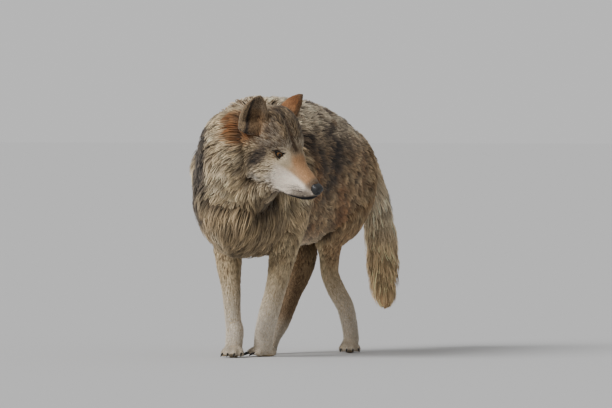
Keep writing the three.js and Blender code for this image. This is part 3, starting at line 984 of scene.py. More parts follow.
@dataclass
class Hide:
    """The wolf's skin and all that the coat needs to know of it.

    Attributes:
        voxel: size of the cells that the lofts are joined in.
        rounds: rounds of smoothing.
    """

    voxel: float = 4.8
    rounds: int = 9
    points: np.ndarray = field(init=False)
    triangles: np.ndarray = field(init=False)
    normals: np.ndarray = field(init=False)
    edges: np.ndarray = field(init=False)
    flow: np.ndarray = field(init=False)
    coat: np.ndarray = field(init=False)
    hair: np.ndarray = field(init=False)
    along: np.ndarray = field(init=False)
    regions: np.ndarray = field(init=False)
    unwrap: np.ndarray = field(init=False)
    tree: KDTree = field(init=False)

    def build(self) -> "Hide":
        """Makes the skin's shape, then reads the coat's lie and depth from the lofts.

        Returns:
            The hide.
        """
        lofts = wolf_lofts()
        ears = [plan.sample(20, 36) for plan in EARS]
        self.join_lofts(lofts, [points for points, _ in ears])
        self.find_edges()
        self.relax(self.rounds)
        self.sculpt()
        self.points[:, 2] = np.maximum(self.points[:, 2], 0.6)
        self.find_normals()
        self.read_guides(self.guides(lofts, ears))
        return self

    def join_lofts(self, lofts: list[Loft], ears: list[np.ndarray]) -> None:
        """Joins every loft into one closed surface of cells, finer round the eyes.

        Args:
            lofts: the lofts.
            ears: the ears' rings.
        """
        points, faces, offset = [], [], 0
        rings = [loft.sample(10 * len(loft.rows), 40).points for loft in lofts] + ears
        for ring in rings:
            points.append(ring.reshape(-1, 3))
            faces += tube_faces(*ring.shape[:2], offset)
            offset += len(points[-1])
        rough = bpy.data.meshes.new("rough")
        rough.from_pydata(np.concatenate(points).tolist(), [], faces)
        carrier = bpy.data.objects.new("rough", rough)
        bpy.context.scene.collection.objects.link(carrier)
        remesh = carrier.modifiers.new("cells", "REMESH")
        remesh.mode = "VOXEL"
        remesh.voxel_size = self.voxel
        joined = bpy.data.meshes.new_from_object(carrier.evaluated_get(bpy.context.evaluated_depsgraph_get()))
        bpy.data.objects.remove(carrier)
        work = bmesh.new()
        work.from_mesh(joined)
        for radius in (30.0, 24.0):
            centres = [Vector(HEAD.out(eye.centre)) for eye in EYES]
            near = {v for v in work.verts if min((v.co - c).length for c in centres) < radius}
            edges = [e for e in work.edges if e.verts[0] in near and e.verts[1] in near]
            bmesh.ops.subdivide_edges(work, edges=edges, cuts=1, use_grid_fill=True)
        bmesh.ops.triangulate(work, faces=work.faces)
        work.to_mesh(joined)
        work.free()
        self.points = np.empty(len(joined.vertices) * 3, np.float32)
        joined.vertices.foreach_get("co", self.points)
        self.points = self.points.reshape(-1, 3).astype(float)
        self.triangles = np.empty(len(joined.polygons) * 3, np.int32)
        joined.loops.foreach_get("vertex_index", self.triangles)
        self.triangles = self.triangles.reshape(-1, 3)
        bpy.data.meshes.remove(joined)
        bpy.data.meshes.remove(rough)

    def find_edges(self) -> None:
        """Lists each pair of neighbouring points, both ways round."""
        t = self.triangles
        pairs = np.concatenate([t[:, [0, 1]], t[:, [1, 2]], t[:, [2, 0]]])
        self.edges = np.concatenate([pairs, pairs[:, ::-1]])

    def blur(self, values: np.ndarray, rounds: int, share: float = 0.5) -> np.ndarray:
        """Moves each point's values toward its neighbours' mean.

        Args:
            values: one row for each point.
            rounds: how many times.
            share: how far each time.

        Returns:
            The smoothed values.
        """
        size = len(values)
        flat = values.reshape(size, -1)
        number = np.bincount(self.edges[:, 0], minlength=size)
        for _ in range(rounds):
            mean = np.stack([
                np.bincount(self.edges[:, 0], weights=flat[self.edges[:, 1], k], minlength=size)
                for k in range(flat.shape[1])
            ], axis=1) / number[:, None]
            flat = flat + share * (mean - flat)
        return flat.reshape(values.shape)

    def relax(self, rounds: int) -> None:
        """Smooths the cells away without shrinking the body much, by rounds of a step in and a step out."""
        for _ in range(rounds):
            self.points = self.blur(self.points, 1, 0.6)
            self.points = self.blur(self.points, 1, -0.5)

    def find_normals(self) -> None:
        """Works out each point's normal as the sum of its triangles' areas."""
        a, b, c = (self.points[self.triangles[:, k]] for k in range(3))
        face = np.cross(b - a, c - a)
        self.normals = unit(np.stack([
            np.bincount(self.triangles.ravel(), np.repeat(face[:, k], 3), len(self.points)) for k in range(3)
        ], axis=1))

    def sculpt(self) -> None:
        """Shapes the face: muzzle, lips, brows and forehead by bumps along the normal, then the lids."""
        self.find_normals()
        head = HEAD.back(self.points)
        near = np.nonzero((np.linalg.norm(head - [0, -40, -20], axis=1) < 190) & (head[:, 1] < 90))[0]
        p = head[near]
        out, ahead, up = np.abs(p[:, 0]), -p[:, 1], p[:, 2]
        part = np.abs(parting(p))
        top = smooth(0.2, 0.8, (self.normals[near] @ HEAD.turn)[:, 2])
        above = mouth_drop(p)
        lips = smooth(28, 44, ahead)
        rise = (
            -3.0 * bump(ahead, 74, 26) * bump(up, -38, 15) * (1 - top)
            + 2.5 * bump(ahead, 124, 16) * bump(up, -58, 15)
            - 2.5 * bump(out, 0, 12) * bump(ahead, 10, 20) * top
            - 6.0 * bump(part, 0, 8) * smooth(30, -2, ahead) * smooth(-96, -60, ahead) * top
            + 3.0 * bump(part, 20, 9) * smooth(22, -6, ahead) * smooth(-100, -50, ahead) * top
            + 4.0 * bump(out, 40, 12) * bump(ahead, -4, 14) * top
            - 3.6 * bump(above, 0, 2.6) * lips
            + 1.8 * bump(above, 6.5, 4) * lips
            - 3.4 * smooth(-1, -6, above) * smooth(-34, -16, above) * lips
        )
        p = p + (self.normals[near] @ HEAD.turn) * rise[:, None]
        for eye in EYES:
            value, distance = eye.opening(p)
            lid = eye.radius + 1.5 + 1.2 * smooth(1.0, 1.5, value)
            target = np.where(value < 1.0, eye.radius - 3.0, lid)
            weight = smooth(2.5, 1.15, value) * smooth(34, 22, distance)
            p = eye.centre + (p - eye.centre) * (1 + weight * (target / distance - 1))[:, None]
        self.points[near] = HEAD.out(p)

    def guides(self, lofts: list[Loft], ears: list[tuple[np.ndarray, np.ndarray]]) -> Guide:
        """Gathers the lofts' samples as the skin's guide.

        Args:
            lofts: the lofts.
            ears: the ears' rings and their cups.

        Returns:
            The guide.
        """
        made, legs, toes = [], 0, 0
        for loft in lofts:
            rings, segments, box = 30, 24, (0.82, 0.02, 0.98, 0.36)
            if loft.region is Region.SPINE and loft.place is BODY:
                rings, segments, box = 80, 72, (0.02, 0.02, 0.60, 0.60)
            elif loft.region is Region.HEAD:
                rings, segments, box = 36, 36, (0.62, 0.02, 0.80, 0.36)
            elif loft.region is Region.TAIL:
                rings, box = 40, (0.62, 0.38, 0.78, 0.60)
            elif loft.region is Region.LEG:
                rings, box = 50, (0.02 + 0.24 * legs, 0.62, 0.24 + 0.24 * legs, 0.84)
                legs += 1
            elif loft.region is Region.PAW:
                rings, segments = 12, 12
                box = (0.02 + 0.048 * toes, 0.86, 0.062 + 0.048 * toes, 0.98)
                toes += 1
            s = loft.sample(rings, segments, crown=3)
            flow = hair_flow(loft.region, s.points, s.tangents)
            made.append(Guide.spread(s.points, flow, s.coat, s.hair, loft.region.value, box))
        for plan, (points, _) in zip(EARS, ears):
            flow = np.broadcast_to(plan.place.turn[:, 2], points.shape)
            low = 0.80 if plan.side > 0 else 0.90
            thin = np.linspace(3.0, 1.6, len(points))
            made.append(Guide.spread(points, flow, thin, 4.0 * thin, 5, (low, 0.38, low + 0.08, 0.60)))
        return Guide.join(made)

    def read_guides(self, guide: Guide) -> None:
        """Gives each point of the skin the mean of the guide's nearest points, then smooths it.

        Args:
            guide: the guide.
        """
        tree = tree_of(guide.points)
        found = [tree.find_n(point, 6) for point in self.points.tolist()]
        index = np.array([[hit[1] for hit in hits] for hits in found])
        share = 1.0 / (np.array([[hit[2] for hit in hits] for hits in found]) + 2.0) ** 2
        share /= share.sum(axis=1, keepdims=True)
        self.unwrap = guide.unwrap[index[:, 0]]
        mixed = [np.einsum("nk,nkc->nc", share, guide.flow[index])]
        mixed += [(share * g[index]).sum(axis=1)[:, None] for g in (guide.coat, guide.hair, guide.along)]
        mixed += [(share * (guide.region[index] == r)).sum(axis=1)[:, None] for r in range(6)]
        mixed = self.blur(np.concatenate(mixed, axis=1), 7)
        self.flow, self.coat, self.hair, self.along = mixed[:, :3], mixed[:, 3], mixed[:, 4], mixed[:, 5]
        self.regions = mixed[:, 6:]
        head = HEAD.back(self.points)
        cheek = smooth(34, -6, -head[:, 1]) * smooth(-28, -66, head[:, 2]) * self.regions[:, 1]
        self.hair += 24.0 * cheek
        self.coat += 8.0 * cheek
        self.flow = along(self.normals, self.flow)
        self.tree = tree_of(self.points)

    def show(self) -> bpy.types.Object:
        """Puts the skin in the scene in place of every node of flesh.

        Returns:
            The skin.
        """
        mesh = mesh_of("skin", self.points, self.triangles)
        spots = Spots(*(getattr(self, item.name) for item in fields(Spots)))
        # Painted shade: the skin is a fifth darker where long hair covers it.
        share = 0.8 + 0.2 * smooth(24, 12, self.hair)[:, None]
        set_tone(mesh, np.clip(markings(spots)[:, :2].mean(axis=1) * share, 0, 1))
        set_attribute(mesh, "strand", np.pad(self.unwrap * 40, ((0, 0), (0, 1))))
        corner = self.unwrap[self.triangles]
        first = corner[:, :1]
        set_unwrap(mesh, np.where(np.abs(corner - first) > 0.05, first, corner))
        flesh = [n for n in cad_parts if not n.startswith(("eye_", "nose"))]
        return show(mesh, SKIN.material(), "coat", *flesh)


@dataclass
class Spots:
    """Places on the skin.

    Attributes:
        points: places in body coordinates.
        normals: the skin's normals.
        flow: the way the hair lies.
        coat: depth of the coat.
        hair: length of the hair.
        along: 0 to 1 along the nearest loft.
        regions: share of each region, with the ears last.
        unwrap: places on the unwrap.
    """

    points: np.ndarray
    normals: np.ndarray
    flow: np.ndarray
    coat: np.ndarray
    hair: np.ndarray
    along: np.ndarray
    regions: np.ndarray
    unwrap: np.ndarray

    def pick(self, chosen: np.ndarray) -> "Spots":
        """Picks the spots of some indices, a slice or a mask."""
        return Spots(*(getattr(self, item.name)[chosen] for item in fields(self)))


# ---- Markings, with painted shade and highlights ----


class Tone(Enum):
    """The wolf's colours, as seen on a display."""

    CREAM = (0.76, 0.675, 0.535)
    PALE = (0.84, 0.775, 0.665)
    WHITE = (0.90, 0.86, 0.81)
    SNOW = (1.0, 0.93, 0.85)
    STRAW = (0.82, 0.70, 0.53)
    SAND = (0.63, 0.525, 0.39)
    TAN = (0.78, 0.60, 0.43)
    GREY = (0.49, 0.445, 0.39)
    BROWN = (0.41, 0.31, 0.215)
    RUST = (0.54, 0.38, 0.25)
    ORANGE = (0.50, 0.30, 0.15)
    RUSSET = (0.45, 0.27, 0.13)
    KHAKI = (0.44, 0.385, 0.30)
    TAWNY = (0.66, 0.46, 0.30)
    UMBER = (0.26, 0.20, 0.15)
    DARK = (0.17, 0.145, 0.135)
    BLACK = (0.06, 0.055, 0.055)


@dataclass
class Paint:
    """Colours from root to tip at each spot.

    Attributes:
        layers: spot by four levels by three, 0 to 1 as on a display.
    """

    layers: np.ndarray

    def lay(self, tones: tuple[Tone, Tone, Tone, Tone], mask: np.ndarray) -> None:
        """Lays colours, from root to tip, over what is there by a mask of 0 to 1."""
        colours = np.array([tone.value for tone in tones])
        self.layers += (colours - self.layers) * np.clip(mask, 0, 1)[:, None, None]


def all_of(tone: Tone) -> tuple[Tone, Tone, Tone, Tone]:
    """One colour from root to tip."""
    return (tone, tone, tone, tone)


def markings(spots: Spots) -> np.ndarray:
    """The wolf's markings, with some painted shade and a painted highlight among them.

    Args:
        spots: where to find them.

    Returns:
        Spot by four levels from root to tip by three, 0 to 1 as on a display.
    """
    paint = Paint(np.tile(np.array(Tone.SAND.value), (len(spots.points), 4, 1)))
    for lay_marks in (body_marks, limb_marks, head_marks, ear_marks):
        lay_marks(paint, spots)
    return paint.layers


# Dark patches of the saddle: distance back, height, half length and half height.
SADDLE = (
    (12, 642, 34, 34),
    (188, 652, 52, 46),
    (216, 612, 40, 40),
    (160, 560, 40, 50),
    (302, 622, 30, 40),
    # This patch is partly a dark collar and partly painted shade along the head's contour, behind the face.
    (70, 592, 30, 36),
    (100, 520, 26, 40),
)


def body_marks(paint: Paint, spots: Spots) -> None:
    """Lays the markings of the trunk, neck and ruff, and painted shade under the ruff, the jaw and the chest.

    Args:
        paint: what to lay them on.
        spots: where.
    """
    t, (x, y, z) = Tone, spots.points.T
    spine = np.clip(spots.regions[:, 0] + spots.regions[:, 3] * smooth(380, 470, z), 0, 1)
    blotch = waves(spots.points, 120, 3)
    fleck = waves(spots.points, 34, 4, (1, 1, 1.6))
    high = smooth(600, 700, z + 16 * blotch)
    paint.lay((t.UMBER, t.BROWN, t.SAND, t.SAND), spine)
    paint.lay((t.UMBER, t.BROWN, t.RUST, t.RUST), spine * 0.75 * smooth(0.1, 0.9, blotch + 0.5 * fleck))
    paint.lay((t.BROWN, t.SAND, t.CREAM, t.CREAM), spine * 0.6 * smooth(0.2, 1.0, fleck - 0.4 * blotch))
    paint.lay((t.DARK, t.UMBER, t.BROWN, t.DARK), spine * 0.55 * smooth(0.3, 1.2, -fleck - 0.3 * blotch))
    paint.lay((t.UMBER, t.SAND, t.PALE, t.PALE), spine * 0.9 * high)
    paint.lay((t.DARK, t.UMBER, t.BROWN, t.DARK), spine * high * smooth(0.3, 1.0, fleck) * 0.75)
    paint.lay((t.SAND, t.CREAM, t.PALE, t.CREAM), spine * smooth(430, 360, z) * 0.7)
    saddle = sum(blob((y, at, long), (z, level, tall)) for at, level, long, tall in SADDLE)
    saddle = np.clip(saddle, 0, 1.1) * smooth(-1.3, 0.2, fleck + 0.4 * blotch) * smooth(740, 700, z)
    paint.lay((t.BLACK, t.DARK, t.DARK, t.UMBER), spine * saddle * 0.9)
    warm = blob((y, 30, 30), (z, 548, 50)) + blob((y, 320, 55), (z, 440, 40))
    paint.lay((t.UMBER, t.RUST, t.RUST, t.TAWNY), spine * warm * 0.8)
    gold = blob((y, 535, 42), (z, 615, 42)) * smooth(-1.0, 0.2, fleck)
    paint.lay((t.BROWN, t.SAND, t.STRAW, t.STRAW), spine * gold * 0.9)
    ruff = smooth(5, -45, y + 0.4 * (z - 600) + 10 * fleck)
    paint.lay((t.BROWN, t.SAND, t.CREAM, t.CREAM), spine * ruff)
    paint.lay((t.SAND, t.CREAM, t.PALE, t.PALE), spine * ruff * 0.6 * smooth(0.1, 0.9, fleck))
    paint.lay((t.DARK, t.BROWN, t.GREY, t.UMBER), spine * ruff * 0.5 * smooth(0.35, 1.1, -fleck))
    front = smooth(-120, -170, y)
    # Painted shadow: a dark diagonal where the ruff's lower edge shades the chest, and painted shade under
    # the jaw.
    crease_shadow = blob((z + 1.2 * (x + 10), 492, 26), (x, -10, 34)) * front
    under_jaw_shadow = blob((x, 132, 34), (z, 488, 30)) * smooth(-60, -110, y)
    paint.lay((t.DARK, t.UMBER, t.KHAKI, t.BROWN), spine * np.clip(crease_shadow + under_jaw_shadow, 0, 1) * 0.75)
    throat = smooth(520, 440, z) * smooth(60, -20, y)
    paint.lay((t.BROWN, t.KHAKI, t.SAND, t.SAND), spine * throat * 0.5)
    # Painted shade: the lower chest darkened beneath the body.
    paint.lay((t.DARK, t.UMBER, t.KHAKI, t.KHAKI), spine * smooth(400, 335, z) * smooth(20, -80, y) * 0.75)
    band = bump(x + 0.10 * (z - 430), -4, 17) * smooth(300, 350, z) * smooth(460, 430, z)
    paint.lay((t.SAND, t.CREAM, t.PALE, t.PALE), band * front * 0.75)
    cape = smooth(-0.44, -0.72, spots.normals[:, 0]) * smooth(60, 0, y)
    cape = cape * smooth(420, 500, z) * smooth(745, 700, z)
    paint.lay((t.BLACK, t.DARK, t.DARK, t.GREY), spine * cape * 0.85)


def limb_marks(paint: Paint, spots: Spots) -> None:
    """Lays the markings of the legs, paws and tail, with painted shade on the backs of the forelegs and on
    the right hind leg, and a painted highlight band on the tail.

    Args:
        paint: what to lay them on.
        spots: where.
    """
    t, (x, y, z) = Tone, spots.points.T
    fleck = waves(spots.points, 30, 6, (1, 1, 2))
    outward = np.sign(x - 6) * spots.normals[:, 0]
    rear = spots.normals[:, 1]
    leg = np.clip(spots.regions[:, 3] + spots.regions[:, 4], 0, 1) * smooth(470, 380, z)
    paint.lay((t.SAND, t.SAND, t.CREAM, t.CREAM), leg)
    paint.lay((t.CREAM, t.PALE, t.WHITE, t.PALE), leg * smooth(290, 90, z) * 0.85)
    paint.lay((t.BROWN, t.BROWN, t.SAND, t.SAND), leg * smooth(0.1, 0.9, fleck) * smooth(120, 300, z) * 0.4)
    hind = leg * smooth(250, 330, y)
    paint.lay((t.BROWN, t.RUST, t.RUST, t.SAND), hind * smooth(-0.1, 0.8, rear) * smooth(110, 220, z) * 0.75)
    outer = smooth(0.0, 0.9, outward)
    paint.lay((t.BROWN, t.BROWN, t.RUST, t.SAND), hind * outer * smooth(200, 330, z) * 0.5)
    # Painted shade: the rear-facing sides of the forelegs browner.
    paint.lay((t.BROWN, t.SAND, t.SAND, t.CREAM), leg * smooth(0.2, 0.9, rear) * smooth(250, 200, y) * 0.4)
    # Painted shade: the right hind leg, behind the others, darker.
    shade = hind * smooth(-20, -50, x) * smooth(60, 140, z) * smooth(470, 380, z)
    paint.lay((t.UMBER, t.BROWN, t.BROWN, t.SAND), shade * 0.85)
    tail = spots.regions[:, 2]
    tip = smooth(0.80, 0.97, spots.along)
    paint.lay(all_of(t.STRAW), tail)
    # Painted highlight: a paler band on the upper part of the tail.
    paint.lay((t.STRAW, t.PALE, t.PALE, t.PALE), tail * bump(spots.along, 0.34, 0.18) * 0.9)
    inner = smooth(0.35, -0.5, spots.normals[:, 0]) * smooth(0.50, 0.28, spots.along)
    paint.lay((t.UMBER, t.BROWN, t.SAND, t.SAND), tail * inner * 0.6)
    lower = smooth(0.74, 0.88, spots.along) * smooth(0.9, 0.2, rear)
    paint.lay((t.BROWN, t.RUST, t.TAN, t.TAN), tail * lower * 0.45)
    paint.lay((t.BROWN, t.BROWN, t.TAN, t.UMBER), tail * tip * 0.6)
    gland = bump(spots.along, 0.22, 0.09) * smooth(0, 0.7, rear)
    paint.lay((t.DARK, t.UMBER, t.BROWN, t.UMBER), tail * gland * 0.7)


def spot(head: np.ndarray, side: float, front: float, rise: float, size: float) -> np.ndarray:
    """A round patch on both sides of the face, by how far out, ahead of the eyes and above them it is."""
    return blob((np.abs(head[:, 0]), side, size), (-head[:, 1], front, size), (head[:, 2], rise, size))


def head_marks(paint: Paint, spots: Spots) -> None:
    """Lays the markings of the face and cheeks.

    Args:
        paint: what to lay them on.
        spots: where.
    """
    t = Tone
    h = HEAD.back(spots.points)
    out, ahead, up, above = np.abs(h[:, 0]), -h[:, 1], h[:, 2], mouth_drop(h)
    head = spots.regions[:, 1]
    speck = waves(spots.points, 9, 8)
    fleck = waves(spots.points, 26, 9)
    crown = smooth(-12, 22, up) * smooth(44, 4, ahead)
    paint.lay((t.BROWN, t.SAND, t.CREAM, t.SAND), head)
    paint.lay((t.UMBER, t.BROWN, t.GREY, t.GREY), head * crown * 0.9)
    paint.lay((t.DARK, t.UMBER, t.UMBER, t.BROWN), head * crown * smooth(-0.2, 0.9, speck) * 0.7)
    pale = smooth(0.4, 1.1, fleck - 0.5 * speck)
    paint.lay((t.BROWN, t.SAND, t.CREAM, t.SAND), head * crown * pale * 0.4)
    poll = smooth(-72, -108, ahead) * smooth(60, 30, out)
    paint.lay((t.BROWN, t.SAND, t.CREAM, t.CREAM), head * poll * 0.8)
    cheek = smooth(0, -40, up) * smooth(40, -10, ahead)
    paint.lay((t.BROWN, t.SAND, t.CREAM, t.SAND), head * cheek)
    muzzle = smooth(-4, 22, ahead)
    side = smooth(-14, -30, up + 0.10 * ahead)
    paint.lay(all_of(t.PALE), head * muzzle * 0.7)
    paint.lay(all_of(t.SNOW), head * muzzle * side)
    bridge = smooth(34, 19, out) * smooth(-32, -18, up + 0.08 * ahead) * smooth(30, 50, ahead)
    paint.lay((t.RUST, t.TAN, t.TAN, t.TAN), head * bridge * 0.95)
    below_bridge = bump(up + 0.10 * ahead, -16, 8) * smooth(30, 60, ahead)
    paint.lay((t.RUST, t.TAN, t.TAN, t.TAN), head * below_bridge * 0.45)
    behind_nose = smooth(114, 132, ahead) * smooth(-48, -34, up)
    paint.lay((t.UMBER, t.BROWN, t.GREY, t.GREY), head * behind_nose * 0.8)
    lip = smooth(50, 112, ahead) * bump(above, 12, 12)
    paint.lay(all_of(t.GREY), head * lip * smooth(-0.8, 0.2, speck) * 0.8)
    seam = smooth(72, 108, ahead) * smooth(9, 4, np.abs(above - 2))
    paint.lay(all_of(t.DARK), head * seam * 0.8)
    beside_nose = smooth(116, 134, ahead) * smooth(30, 16, np.abs(up + 56))
    paint.lay(all_of(t.GREY), head * beside_nose * 0.45)
    dots = smooth(0.35, 0.8, np.cos(0.62 * ahead + 0.2 * above) * np.cos(0.9 * above))
    pad = smooth(78, 92, ahead) * smooth(136, 126, ahead)
    pad = pad * smooth(4, 7, above) * smooth(30, 24, above)
    paint.lay(all_of(t.GREY), head * pad * smooth(0.9, -0.6, speck) * 0.55)
    paint.lay((t.DARK, t.DARK, t.DARK, t.UMBER), head * np.clip(1.6 * dots, 0, 1) * pad)
    part = np.abs(parting(h))
    furrow = smooth(15, 5, part) * smooth(44, 30, ahead) * smooth(-88, -62, ahead) * (up > 0)
    paint.lay((t.DARK, t.UMBER, t.UMBER, t.BROWN), head * furrow * 0.85)
    beside = bump(part, 22, 9) * smooth(10, -4, ahead) * smooth(-90, -60, ahead) * (up > 0)
    paint.lay((t.UMBER, t.GREY, t.SAND, t.SAND), head * beside * 0.6)
    frown = bump(out, 17, 7) * bump(ahead, 26, 12) * (up > 0)
    paint.lay((t.DARK, t.UMBER, t.BROWN, t.BROWN), head * frown * 0.5)
    streak = spot(h, 72, -25, -6, 15) + spot(h, 74, -33, -24, 18) + spot(h, 77, -44, -42, 18)
    paint.lay((t.BLACK, t.DARK, t.DARK, t.UMBER), head * np.clip(streak, 0, 1) * (0.86 + 0.14 * speck))
    paint.lay((t.CREAM, t.PALE, t.WHITE, t.WHITE), head * spot(h, 58, -24, -96, 32) * 0.9)
    paint.lay((t.CREAM, t.PALE, t.WHITE, t.PALE), head * spot(h, 21, 8, 24, 10) * 0.9)
    paint.lay((t.SAND, t.CREAM, t.PALE, t.PALE), head * spot(h, 50, -4, -36, 24) * 0.85)
    low, way = NAPE[0], NAPE[1] - NAPE[0]
    step = np.clip((spots.points - low) @ way / np.sum(way**2), 0, 1)
    away = np.linalg.norm(spots.points - low - step[:, None] * way, axis=1)
    nape = smooth(48, 24, away + 4 * fleck) * np.maximum(head, spots.regions[:, 0])
    paint.lay((t.BROWN, t.RUSSET, t.RUSSET, t.RUSSET), nape)
    for eye in EYES:
        value, distance = eye.opening(h)
        paint.lay((t.BLACK, t.BLACK, t.BLACK, t.DARK), smooth(1.55, 1.3, value) * (distance < LID_REACH))
    paint.lay((t.BLACK, t.DARK, t.DARK, t.UMBER), head * spot(h, 27, 17, -3, 6) * 0.9)
    mouth = smooth(26, 34, ahead) * (head > 0.3)
    thick = lip_depth(ahead)
    paint.lay(all_of(t.BLACK), mouth * smooth(3.6, 1.6, above) * smooth(-thick - 2.5, -thick, above))
    paint.lay(all_of(t.PALE), mouth * smooth(-thick - 1, -thick - 4, above) * 0.7)


def ear_marks(paint: Paint, spots: Spots) -> None:
    """Lays the markings of the ears: orange backs, dark edges, a dark cup that is partly dark skin and partly
    painted shade, and a painted shadow beside the folded rim.

    Args:
        paint: what to lay them on.
        spots: where.
    """
    t = Tone
    for plan in EARS:
        local = plan.place.back(spots.points)
        facing = spots.normals @ plan.place.turn[:, 1]
        mine = spots.regions[:, 5] * (np.linalg.norm(local - [0, 0, 50], axis=1) < 80)
        height = local[:, 2]
        half = np.interp(height, [row[0] for row in plan.rows], [row[2] for row in plan.rows])
        edge = smooth(0.72, 0.95, np.abs(local[:, 0]) / half)
        paint.lay((t.BROWN, t.TAWNY, t.TAWNY, t.TAWNY), mine)
        paint.lay((t.UMBER, t.ORANGE, t.ORANGE, t.RUST), mine * smooth(50, 84, height) * 0.9)
        paint.lay((t.UMBER, t.BROWN, t.BROWN, t.UMBER), mine * smooth(84, 106, height) * 0.8)
        paint.lay((t.DARK, t.UMBER, t.BROWN, t.UMBER), mine * edge * smooth(-0.2, 0.4, facing) * 0.6)
        # The cup inside is partly the ear's dark skin and partly painted shade.
        inner = mine * smooth(0.25, -0.2, facing)
        paint.lay((t.UMBER, t.BROWN, t.BROWN, t.SAND), inner)
        paint.lay((t.DARK, t.UMBER, t.GREY, t.SAND), inner * smooth(40, 60, height) * 0.75)
        across = plan.side * local[:, 0] / half
        # Painted shadow: a dark line beside the folded rim inside the ear.
        crease_shadow = bump(across, 0.42, 0.16) * smooth(96, 80, height)
        paint.lay((t.BLACK, t.BLACK, t.DARK, t.DARK), inner * crease_shadow * 0.8)
        fold = smooth(0.45, 0.62, across) * smooth(0.6, 0.1, facing)
        fringe = np.maximum(0.8 * edge * smooth(0.5, -0.2, facing), fold)
        paint.lay((t.UMBER, t.GREY, t.SAND, t.GREY), mine * fringe)


# ---- Coat ----


@dataclass(frozen=True)
class Growth:
    """One kind of tuft.

    Attributes:
        name: what it is called.
        hair: shortest and longest hair it is used for, in mm.
        spacing: distance between roots in mm.
        width: a tuft's width in mm.
        lock: distance between locks in mm; neighbours lean to the same lock.
        gather: how far the tips draw together, 0 to 1.
        sway: how far locks swing aside, as a share of their length.
        rings: rings between root and tip.
    """

    name: str
    hair: tuple[float, float]
    spacing: float
    width: float
    lock: float
    gather: float
    sway: float
    rings: int


GROWTHS = (
    Growth("long", (48, 999), 3.4, 2.9, 17, 0.54, 0.16, 2),
    Growth("middle", (20, 48), 3.0, 2.4, 11, 0.48, 0.14, 2),
    Growth("short", (10.5, 20), 2.8, 2.1, 7, 0.35, 0.10, 1),
    Growth("fine", (0, 10.5), 2.1, 1.6, 5, 0.25, 0.08, 1),
)


@dataclass(frozen=True)
class Tufts:
    """Shaped tufts, tuft by point by column; a tuft's points are its root, its rings and its tip.

    Attributes:
        points: places in body coordinates.
        normals: directions that shade the tuft.
        tones: colours, 0 to 1 as on a display.
        strands: places on the pattern of hair streaks, round and along the tuft and from tuft to tuft.
    """

    points: np.ndarray
    normals: np.ndarray
    tones: np.ndarray
    strands: np.ndarray

    @staticmethod
    def join(rings: list["Tufts"]) -> "Tufts":
        """Joins rings of the same tufts, in order from root to tip."""
        columns = ([getattr(ring, item.name) for ring in rings] for item in fields(Tufts))
        return Tufts(*(np.concatenate(column, axis=1) for column in columns))

    def pick(self, chosen: np.ndarray) -> "Tufts":
        """Picks the tufts of some indices."""
        return Tufts(*(getattr(self, item.name)[chosen] for item in fields(self)))


